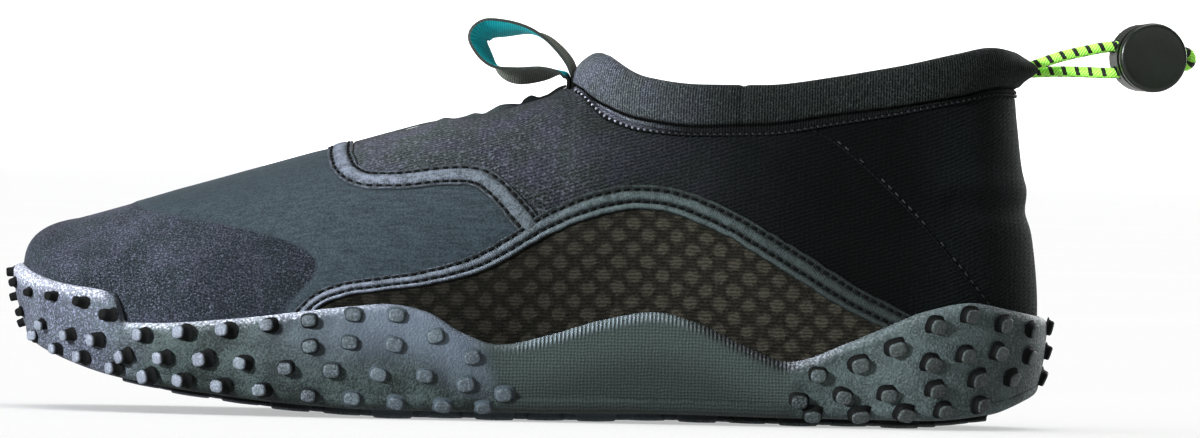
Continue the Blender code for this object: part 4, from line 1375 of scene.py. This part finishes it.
def sole_columns():
    """Rib places for the sole's wall, closest along the ribbed arch."""
    ends = foot_x(RIBS)
    close = (ends > ARCH_CLOSE[0]) & (ends < ARCH_CLOSE[1]) | (np.abs(ends - BUMPER_END_X) < BUMPER_CLOSE)
    spacing = np.where(close, ARCH_STEP, SOLE_STEP)
    lengths = np.linalg.norm(np.diff(outline(RIBS, LATERAL), axis=0), axis=1) / spacing[1:]
    run = np.concatenate([[0], np.cumsum(lengths)])
    return np.interp(np.linspace(0, run[-1], round(run[-1]) + 1), run, RIBS)


def wall_thickness(t):
    """Thickness of the sole wall at a share of its height: thick at the foot, with a round top edge."""
    body = WALL_FOOT + (WALL_CREST - WALL_FOOT) * t
    lip = np.clip((t - LIP_START) / (1 - LIP_START), 0, 1)
    return body * np.sqrt(np.clip(1 - lip ** 2 * (1 - (LIP_LEFT / WALL_CREST) ** 2), 0, 1))


def edge_shape(p, side, turns):
    """Rounded bottom edge under the wall; turns go from 0 at the wall to 1 underneath."""
    angle = turns * np.pi / 2
    reach = WALL_FOOT - EDGE_ROUND * (1 - np.cos(angle))
    depth = BASE_DEPTH - EDGE_ROUND + EDGE_ROUND * np.sin(angle)
    return foot_line(p, side)[:, None] + outward(p, side)[:, None] * reach[:, None] - UP * depth[:, None]


def make_sole(rubber):
    """Cup sole: floor, wall with its wavy top edge and ribbed arch, rounded bottom edge and underside."""
    p = sole_columns()
    t = np.concatenate([np.linspace(0, LIP_START - 0.02, SOLE_LEVELS), np.linspace(LIP_START, 1, LIP_LEVELS)])
    turns = np.linspace(0, 1, EDGE_LEVELS)
    under = np.ones((len(p), EDGE_LEVELS))
    rims = np.full((len(p), 2), SOLE_FAR)
    sides = []
    for side in SIDES:
        h = np.interp(p, RIBS, GRIDS[side].wall)[:, None] * t
        ribs = np.repeat(p[:, None], len(t), 1)
        flat, normals = on_hull(side, ribs, h)
        x = flat[..., 0]
        arch = arch_field(x, flat[..., 2])
        run = read_grid(GRIDS[side].run, ribs, h)
        edge = run[:, -1:] - run
        ribbed = np.cos(x * 2 * np.pi / ARCH_PITCH) * ARCH_RELIEF * ease(edge, 4.0, 1.2)
        ribbed *= ease(x, -10.0, 4.0) * (0.3 + 0.7 * ease(x, 58.0, 8.0))
        sunk = ARCH_SUNK * ease(t, 1.0, 0.8) - ribbed * ease(t, 1.0, 0.93)
        thick = np.maximum(wall_thickness(t) - ease(arch, -2.5, 2.5) * sunk, THINNEST)
        outer = flat + normals * thick[..., None]
        inner, _ = on_hull(side, ribs[:, [0, -1]], h[:, [0, -1]], np.full((len(p), 2), SOLE_GAP))
        sides.append((
            np.concatenate([inner, outer[:, ::-1], edge_shape(p, side, turns)], 1),
            np.concatenate([-rims, arch[:, ::-1], under * arch[:, :1]], 1),
            np.concatenate([rims, edge[:, ::-1], under * SOLE_FAR], 1),
            np.concatenate([rims, run[:, ::-1], under * turns * -4], 1),
        ))
    points, arch, edge, down = joined_sides(sides)
    faces = loop_quads(*points.shape[:2]).tolist() + cross_faces(*points.shape[:2])
    obj = new_piece("sole_cup", points, faces, [rubber], uv=np.stack([points[..., 0], down], -1), weld=WELD,
                    sharp=60, fields={"arch": arch, "edge": edge})
    return settle(obj, "rubber", "outsole")


def sole_face(side, p, z):
    """Point and outward direction on the sole's face at rib p and a height."""
    p = np.array([p])
    wall = np.interp(p, RIBS, GRIDS[side].wall)
    floor = smooth(PLAN, "floor", foot_x(p))[0]
    if z < floor:
        turn = np.clip((floor - z - BASE_DEPTH + EDGE_ROUND) / EDGE_ROUND, 0, EDGE_LIMIT)
        point = edge_shape(p, side, np.array([math.asin(turn) / (math.pi / 2)]))[0, 0]
        direction = outward(p, side)[0] * math.sqrt(1 - turn * turn) - UP * turn
        return point, direction
    heights = on_hull(side, np.full(GRID_LEVELS, p[0]), LEVELS)[0][:, 2]
    t = np.interp(z, heights, LEVELS) / wall
    points, normals = on_hull(side, p, wall * t, wall_thickness(t))
    return points[0], normals[0]


def rib_at(side, x, z):
    """Rib whose sole face passes a place in the side view."""
    low, high = 0.0, 1.0
    for _ in range(RIB_ROUNDS):
        middle = (low + high) / 2
        if sole_face(side, middle, z)[0][0] < x:
            low = middle
        else:
            high = middle
    return low


def make_studs(rubber):
    """Moulded studs on the wall, each a little different; those round the toe's tip are dark all over,
    painted shade.
    """
    random = np.random.default_rng(SEED)
    spots = [(LATERAL, 0.0, z) for z in TOE_STUDS] + [(LATERAL, 1.0, z) for z in HEEL_STUDS]
    for x, z in STUDS:
        p = rib_at(LATERAL, x, z)
        spots += [(side, p, z) for side in SIDES]
    shape, faces = turned(STUD_SHAPE, STUD_SIDES, STUD_SQUARE)
    origins, axes, rise = [], [], []
    for side, p, z in spots:
        point, normal = sole_face(side, p, z)
        x = point[0]
        # Dark studs round the toe's tip: their halved rise keeps them all in the painted shade colour of the
        # sides.
        dark = x < TOE_DARK_X or (x < BUMPER_END_X and z > TOE_DARK_Z)
        heel = ease(x, 60.0, 80.0)
        lean = TOE_LEAN * ease(x, -60.0, -100.0) * ease(x, -140.0, -112.0) + HEEL_LEAN * ease(x, 70.0, 110.0)
        if 0 < p < 1:
            lean = lean + np.array([0, TIP_LEAN * side * ease(x, -126.0, -138.0), 0])
        size = random.uniform(0.92, 1.08) * (1 - TOE_SMALLER * ease(x, -108.0, -134.0) + HEEL_LARGER * heel)
        size *= DARK_SIZE if dark else 1.0
        turn = Matrix.Rotation(random.uniform(-0.3, 0.3), 3, "Z")
        deep = 1 - PEAK_LOWER * ease(x, -72.0, -42.0) * ease(x, 60.0, 20.0)
        deep -= TIP_LOWER * ease(x, -128.0, -138.0) + HEEL_LOWER * heel
        deep *= random.uniform(0.9, 1.05)
        upright = Vector(unit(normal + lean)).to_track_quat("Z", "Y").to_matrix()
        origins.append(point)
        axes.append(np.array(upright @ turn).T * np.array([[size * STUD_WIDE], [size / STUD_WIDE], [deep]]))
        rise.append(shape[:, 2] * (0.5 if dark else 1.0))
    points, joined = scatter(shape, faces, origins, axes)
    points[:, 2] = np.maximum(points[:, 2], 0.05)
    obj = new_piece("sole_studs", points, joined, [rubber], fields={"rise": rise}, sharp=50)
    return settle(obj, "rubber")


def make_lugs(rubber):
    """Ground lugs in staggered rows under the sole, with small ones between the rows."""
    profile = [(radius * LUG_HALF, height) for radius, height in LUG_SHAPE]
    shape, faces = turned(profile, LUG_SIDES, LUG_SQUARE)
    origins, axes = [], []
    step = LUG_ROW_STEP / 2
    for row in range(int((HEEL_X - LUG_EDGE - LUG_FIRST_X) / LUG_ROW_STEP) + 1):
        x = LUG_FIRST_X + row * LUG_ROW_STEP
        base = smooth(PLAN, "floor", x) - BASE_DEPTH
        slope = float(slope_at(PLAN, "floor", x))
        ends = cap(x - TOE_X, TOE_ROUND) * cap(HEEL_X - x, HEEL_ROUND)
        swing = smooth(PLAN, "swing", x)
        low = swing - smooth(PLAN, "lateral", x) * ends + LUG_EDGE
        high = swing + smooth(PLAN, "medial", x) * ends - LUG_EDGE
        middle = (low + high) / 2
        count = int((high - low) / LUG_PITCH)
        gaps = count - row % 2
        down = unit(np.array([slope, 0, -1.0])) * (1 - LUG_HALF * abs(slope) / LUG_HEIGHT)
        forward = unit(np.array([1.0, 0, slope]))
        for i in range(gaps + 1):
            origins.append([x, middle + (i - gaps / 2) * LUG_PITCH, base])
            axes.append([forward, [0, -1, 0], down])
        for i in range(count):
            origins.append([x + step, middle + (i - (count - 1) / 2) * LUG_PITCH, base + slope * step])
            axes.append([forward * SMALL_LUG, [0, -SMALL_LUG, 0], down * SMALL_LUG_DEPTH])
    points, joined = scatter(shape, faces, np.array(origins, float), np.array(axes, float))
    rise = np.tile(shape[:, 2] + 0.6, len(origins))
    obj = new_piece("sole_lugs", points, joined, [rubber], fields={"rise": rise}, sharp=50)
    return settle(obj, "rubber")


def make_insole():
    """Cloth-covered foam footbed with a soft edge."""
    p = np.linspace(0, 1, INSOLE_RIBS)
    sides = []
    for side in SIDES:
        foot, out = foot_line(p, side), outward(p, side)
        rows = [foot - out * (INSOLE_INSET + inset) + UP * rise for inset, rise in INSOLE_EDGE]
        sides.append([np.stack(rows, 1)])
    points = joined_sides(sides)[0]
    faces = loop_quads(*points.shape[:2]).tolist() + cross_faces(*points.shape[:2])
    obj = new_piece("insole_pad", points, faces, [make_foam()], uv=points[..., :2], weld=WELD, sharp=50)
    return settle(obj, "foam", "insole")


def make_collar():
    """Padded band on the collar edge, with soft puckers, a joint in its cloth and the spout at the heel."""
    turn = full_turn(BAND_SIDES)
    across = squarer(np.cos(turn), BAND_SQUARE)
    up = (squarer(np.sin(turn), BAND_SQUARE) + 1) / 2
    outer = ease(across, 0.05, 0.35)
    sides, runs = [], []
    for side in SIDES:
        p = RIBS[GRIDS[side].points[:, -1, 0] >= COLLAR_FRONT_X]
        seat = even(rib_top(p, side), BAND_STEP)[0]
        x = seat[:, 0]
        height, lean, spout, strip = [smooth(BAND, column, x)[:, None] for column in Band._fields[1:]]
        along = unit(np.gradient(seat, axis=0))
        out = unit(np.stack([-along[:, 1], along[:, 0], np.zeros(len(x))], 1) * side)
        out[0], out[-1] = (-1, 0, 0), (1, 0, 0)
        run = run_along(seat)
        offset = BAND_PROUD - BAND_THICK * (1 - across) / 2 - lean * up ** 1.6
        offset = offset + spout * np.maximum(0, across) * bell(up - SPOUT_AT, SPOUT_HALF)
        folds = np.sin(run * 2 * np.pi / PUCKER_PITCH + 1.3 * np.sin(run / 9.0))
        pucker = PUCKER * folds[:, None] * bell(up, 0.22)
        joint = -CLOTH_JOINT_DEPTH * bell(x - CLOTH_JOINT_X, 0.7)[:, None] * (side == LATERAL)
        offset = offset + (pucker + joint) * np.sign(across)
        rise = (height + BAND_OVERLAP + joint) * up - BAND_OVERLAP
        below = ease(rise, strip + 0.2, strip - 0.5) * outer
        offset = offset * (1 - below) + STRIP_FLUSH * below
        offset = offset - STRIP_GROOVE * bell(rise - strip, 0.42) * outer
        rings = seat[:, None] + out[:, None] * offset[..., None] + UP * rise[..., None]
        sides.append((rings, bell(rise - strip, 0.55) * outer, below))
        runs.append(run)
    points, seam, strip = [np.concatenate([one, other[-2:0:-1]]) for one, other in zip(*sides)]
    run = np.concatenate([runs[0], runs[0][-1] + runs[1][-1] - runs[1][-2:0:-1]])
    obj = new_piece("collar_padding", points, ring_faces(len(points), BAND_SIDES, True), [make_band()],
                    uv=pairs(run, np.arange(BAND_SIDES) * BAND_GIRTH / BAND_SIDES),
                    fields={"seam": seam, "strip": strip})
    return settle(obj, "band", "collar_band")


def make_pull_loop():
    """Woven ribbon folded to a loop: grey outside and teal inside."""
    route = np.array([(row.x, LOOP_Y, row.z) for row in LOOP])
    lean = np.array([(row.across_x, 1.0, row.across_z) for row in LOOP])
    both = curve_through(np.column_stack([route, lean]), LOOP_STEP)
    line, across = both[:, :3], both[:, 3:]
    along = unit(np.gradient(line, axis=0))
    face = unit(np.cross(along, across))
    across = np.cross(face, along)
    columns = np.linspace(-1, 1, LOOP_COLUMNS)
    curl = LOOP_CURL * columns ** 2
    sheet = line[:, None] + across[:, None] * columns[:, None] * LOOP_WIDTH / 2
    sheet = sheet + face[:, None] * curl[:, None]
    half = face[:, None] * LOOP_THICK / 2
    rings = np.concatenate([sheet + half, (sheet - half)[:, ::-1]], 1)
    sides = 2 * LOOP_COLUMNS
    run = run_along(line)
    uv = pairs(run, np.concatenate([columns, columns[::-1]]) * LOOP_WIDTH / 2)[:, ::-1]
    faces = ring_faces(len(rings), sides, False)
    worn = []
    for face in faces:
        inner = sum(v % sides >= LOOP_COLUMNS for v in face)
        worn.append(0 if inner == 0 else 1 if inner == len(face) else 2)
    looks = [make_ribbon("ribbon_grey", "454a41", "888c84"), make_ribbon("ribbon_teal", "0a8a90", "34c6cc"),
             make_ribbon("ribbon_edge", "1c201d", "3c423e")]
    tab = ease(np.minimum(run, run[-1] - run), LOOP_TAB, LOOP_TAB - LOOP_TAB_FADE)
    obj = new_piece("pull_loop_ribbon", rings, faces, looks, uv=uv, face_looks=worn, sharp=60,
                    fields={"tab": np.repeat(tab, sides)})
    return settle(obj, "ribbon", "pull_loop")


def ridge_trim():
    """Gathered trim along the top of the instep, in uneven bumps."""
    x = GRIDS[LATERAL].points[:, -1, 0]
    p = RIBS[(x > TRIM[0].x) & (x < TRIM[-1].x)]
    line = hull_trace(LATERAL, p, np.ones(len(p)), TRIM_STEP)
    x = line.points[:, 0]
    turn = np.linspace(0, np.pi, TRIM_SIDES)
    rise = np.sin(turn) * (smooth(TRIM, "z", x) + TRIM_SUNK)[:, None] - TRIM_SUNK - sag(x, 0.0)[:, None]
    rings = beside(line, np.tile(np.cos(turn) * TRIM_HALF, (len(x), 1)), rise)
    # Painted light falloff: pale grey where lit towards the toe, dark further back.
    look = make_thread("trim_cloth", "060707", "565d5d", "1e2121", fade=(-3.0, -13.0))
    faces = ring_faces(len(rings), TRIM_SIDES, False)
    return settle(new_piece("instep_trim", rings, faces, [look], sharp=70), "neoprene")


def lock_frame():
    """Frame of the cord lock: +X along the strands, +Z up, and -Y out of the button's face."""
    return Matrix.Translation(LOCK_CENTRE) @ Matrix.Rotation(math.radians(LOCK_TURN), 4, "Z")


def strand_route(sign):
    """Listed points of one strand, from the collar's spout through the lock; sign is 1 above, -1 below."""
    spots = [Vector((-LOCK_RADIUS, -LOCK_STRAND_DEPTH, STRAND_IN[sign])),
             Vector((0, -LOCK_STRAND_DEPTH, (STRAND_IN[sign] + sign * STRAND_OUT) / 2)),
             Vector((STRAND_END, -LOCK_STRAND_DEPTH, sign * STRAND_OUT))]
    place = lock_frame()
    return np.array([tuple(spot) for spot in STRAND_FREE[sign]] + [tuple(place @ spot) for spot in spots])


def cord_mesh(name, route, look):
    """Braided round cord along a route; its weave coordinates are the turn and the fleck pitches."""
    line = even(route, CORD_STEP)[0]
    along = unit(np.gradient(line, axis=0))
    aside = unit(np.cross(along, np.array([0.0, 1.0, 0.0])))
    back = np.cross(along, aside)
    turn = full_turn(CORD_SIDES)
    run = np.arange(len(line)) * CORD_STEP
    over = np.cos(BRAID_STRANDS * turn + run[:, None] * 2 * np.pi / BRAID_PITCH)
    under = np.cos(BRAID_STRANDS * turn - run[:, None] * BRAID_RETURN)
    radius = CORD_DIAMETER / 2 - CORD_BRAID + CORD_BRAID * over * under
    spokes = aside[:, None] * np.cos(turn)[:, None] + back[:, None] * np.sin(turn)[:, None]
    rings = line[:, None] + spokes * radius[..., None]
    uv = pairs(run / FLECK_PITCH, turn / (2 * np.pi))[:, ::-1]
    cord = new_piece(name, rings, ring_faces(len(line), CORD_SIDES, False), [look], uv=uv, sharp=60)
    layer = cord.data.uv_layers["weave"]
    for face in cord.data.polygons:
        spots = [layer.data[corner].uv for corner in face.loop_indices]
        if max(spot.x for spot in spots) - min(spot.x for spot in spots) > 0.5:
            for spot in spots:
                spot.x += 1.0 if spot.x < 0.5 else 0.0
    return cord, line


def make_cords(lock_pieces):
    """Two strands of the drawcord and its folded end behind the lock."""
    look = make_elastic()
    place = lock_frame()
    turn = np.linspace(0, np.pi, BIGHT_STEPS + 1)
    start = BIGHT_START + BIGHT_LEG
    bend = [(start + STRAND_OUT * math.sin(a), STRAND_OUT * math.cos(a)) for a in turn]
    bend = [(BIGHT_START, STRAND_OUT), *bend, (BIGHT_START, -STRAND_OUT)]
    route = [tuple(place @ Vector((x, -LOCK_STRAND_DEPTH, z))) for x, z in bend]
    end, _ = cord_mesh("drawcord_end", np.array(route), look)
    settle(end, "elastic", "cord_end")
    for name, node, sign in (("drawcord_upper", "cord_upper", 1), ("drawcord_lower", "cord_lower", -1)):
        strand, line = cord_mesh(name, curve_through(strand_route(sign), CORD_DIAMETER), look)
        settle(strand, "elastic", node)


def make_lock():
    """Cord lock: the housing is its solid with smooth sides, the button a dished cap on two prongs."""
    plastic = make_plastic()
    solid = frame["nodes"]["cord_lock_body"]
    points = np.array([tuple(solid.matrix_world @ vertex.co) for vertex in solid.data.vertices]) / MM
    faces = [list(polygon.vertices) for polygon in solid.data.polygons]
    body = new_piece("lock_housing", points, faces, [plastic], weld=WELD, sharp=30)
    edge = body.modifiers.new("soft_edge", "BEVEL")
    edge.width = HOUSING_ROUND * MM
    edge.segments = 3
    edge.limit_method = "ANGLE"
    settle(body, "lock_plastic", "cord_lock_body")
    front = HEAD_BACK + HEAD_THICK
    profile = [(HEAD_MIDDLE, HEAD_BACK)]
    profile += [(HEAD_RADIUS - inset, HEAD_BACK + rise) for inset, rise in HEAD_EDGE]
    profile += [(HEAD_RADIUS - inset, front - depth) for inset, depth in HEAD_FACE]
    profile.append((HEAD_MIDDLE, profile[-1][1]))
    points, faces = turned(profile, HEAD_SIDES)
    reach = math.acos(FORK_HALF / PRONG_RADIUS)
    arc = np.linspace(-reach, reach, PRONG_STEPS)
    for sign in (1, -1):
        flat = np.column_stack([np.sin(arc) * PRONG_RADIUS, sign * np.cos(arc) * PRONG_RADIUS])
        depths = (PRONG_TIP, HEAD_BACK + PRONG_SUNK)
        rings = [np.column_stack([flat, np.full(PRONG_STEPS, depth)]) for depth in depths]
        faces += shifted(ring_faces(2, PRONG_STEPS, False), len(points))
        points = np.concatenate([points, *rings])
    place = lock_frame() @ Matrix.Rotation(math.pi / 2, 4, "X")
    points = np.array([tuple(place @ Vector(spot)) for spot in points])
    button = new_piece("lock_button_cap", points, faces, [plastic], sharp=40)
    settle(button, "lock_plastic", "cord_lock_button", body="lock_button")
    return [body, button]


# Lights: place in metres, size in metres or degrees, power, colour, what they light, and if the shoe shades
Light = namedtuple("Light", "name kind place size power tint lit shaded")
LIGHTS = [
    Light("key", "AREA", (-1.15, -0.95, 0.50), 0.2, 60.0, (0.93, 0.96, 1.0), "shoe", True),
    Light("overhead", "SUN", (0.0, 0.0, 3.0), 50.0, 2.5, (1.0, 1.0, 1.0), "shoe", True),
    Light("fill", "AREA", (0.80, 1.30, 0.55), 1.0, 32.0, (1.0, 1.0, 1.0), "body", True),
    Light("floor_light", "SUN", (0.0, 0.0, 3.0), 50.0, 1.9, (1.0, 1.0, 1.0), "stage", False),
    Light("floor_shade", "SUN", (0.0, 0.0, 3.0), 60.0, 0.7, (1.0, 1.0, 1.0), "stage", True),
]
LIGHT_AIM = Vector((0.0, 0.0, 0.05))
VIEW_GAMMA = 0.8
FLOOR_REACH = 60.0
BACKDROP_HEIGHT = 4.0
WORLD_POWER = 0.28


def flat_piece(name, corners, look):
    """A plain rectangle of the stage."""
    mesh = bpy.data.meshes.new(name)
    mesh.from_pydata(corners, [], [(0, 1, 2, 3)])
    mesh.materials.append(look)
    obj = add_object(name, mesh)
    obj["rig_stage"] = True


def add_light(light, groups):
    """A lamp that lights the pieces of one group."""
    lamp = bpy.data.lights.new(light.name, light.kind)
    lamp.energy = light.power
    lamp.color = light.tint
    if light.kind == "SUN":
        lamp.angle = math.radians(light.size)
    else:
        lamp.size = light.size
    obj = add_object(light.name, lamp)
    obj.location = light.place
    obj.rotation_euler = (LIGHT_AIM - Vector(light.place)).to_track_quat("-Z", "Y").to_euler()
    obj.light_linking.receiver_collection = groups[light.lit]
    if not light.shaded:
        obj.light_linking.blocker_collection = groups[light.lit]


def make_stage():
    """Pale floor, a bright backdrop far behind it, and even light all round."""
    reach = FLOOR_REACH
    flat_piece("floor", [(-reach, -reach, 0), (reach, -reach, 0), (reach, reach, 0), (-reach, reach, 0)],
               make_floor_look())
    glow = Look("backdrop_white", Roughness=1.0, Emission_Color=(1, 1, 1, 1), Emission_Strength=0.8)
    flat_piece("backdrop", [(-reach, reach, 0), (reach, reach, 0), (reach, reach, BACKDROP_HEIGHT),
                            (-reach, reach, BACKDROP_HEIGHT)], glow.material)
    world = bpy.data.worlds.new("studio")
    world.use_nodes = True
    world.node_tree.nodes["Background"].inputs["Color"].default_value = (1, 1, 1, 1)
    world.node_tree.nodes["Background"].inputs["Strength"].default_value = WORLD_POWER
    bpy.context.scene.world = world
    bpy.context.scene.view_settings.view_transform = "Standard"
    bpy.context.scene.view_settings.gamma = VIEW_GAMMA


def make_lights():
    """The shoe and the stage are lit apart, so the floor stays even with a faint shade under the shoe."""
    groups = {name: bpy.data.collections.new("lit_" + name) for name in ("shoe", "body", "stage")}
    for obj in bpy.context.scene.objects:
        if obj.type == "MESH":
            groups["stage" if obj.get("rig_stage") else "shoe"].objects.link(obj)
    for obj in groups["shoe"].objects:
        if obj.name != "pull_loop_ribbon":
            groups["body"].objects.link(obj)
    for light in LIGHTS:
        add_light(light, groups)


def make_camera():
    """Camera at the photo's angle, far away with a long lens."""
    data = bpy.data.cameras.new("camera")
    data.sensor_width = SENSOR
    data.lens = SENSOR * VIEW_DISTANCE / VIEW_WIDTH
    data.clip_end = 200.0
    camera = add_object("camera", data)
    rise = math.radians(VIEW_RISE)
    back = Vector((0, -math.cos(rise), math.sin(rise))) * VIEW_DISTANCE
    turn = Matrix.Rotation(math.pi / 2 - rise, 4, "X") @ Matrix.Rotation(math.radians(VIEW_ROLL), 4, "Z")
    camera.matrix_world = Matrix.Translation((Vector(VIEW_CENTRE) + back) * MM) @ turn
    bpy.context.scene.camera = camera


def main():
    make_camera()
    make_stage()
    make_cords(make_lock())
    make_upper()
    strap_look = make_strap()
    front_lines = make_straps("strap_front", STRAP_FRONT, FRONT_SECTION, FRONT_WIDTHS, strap_look, dive=0.9)
    side_lines = make_straps("strap_side", STRAP_SIDE, SIDE_SECTION, SIDE_WIDTHS, strap_look)
    make_seams(front_lines, side_lines)
    ridge_trim()
    stud_look = make_stud_rubber()
    make_sole(make_rubber())
    make_studs(stud_look)
    make_lugs(stud_look)
    make_insole()
    make_collar()
    make_pull_loop()
    make_lights()


main()
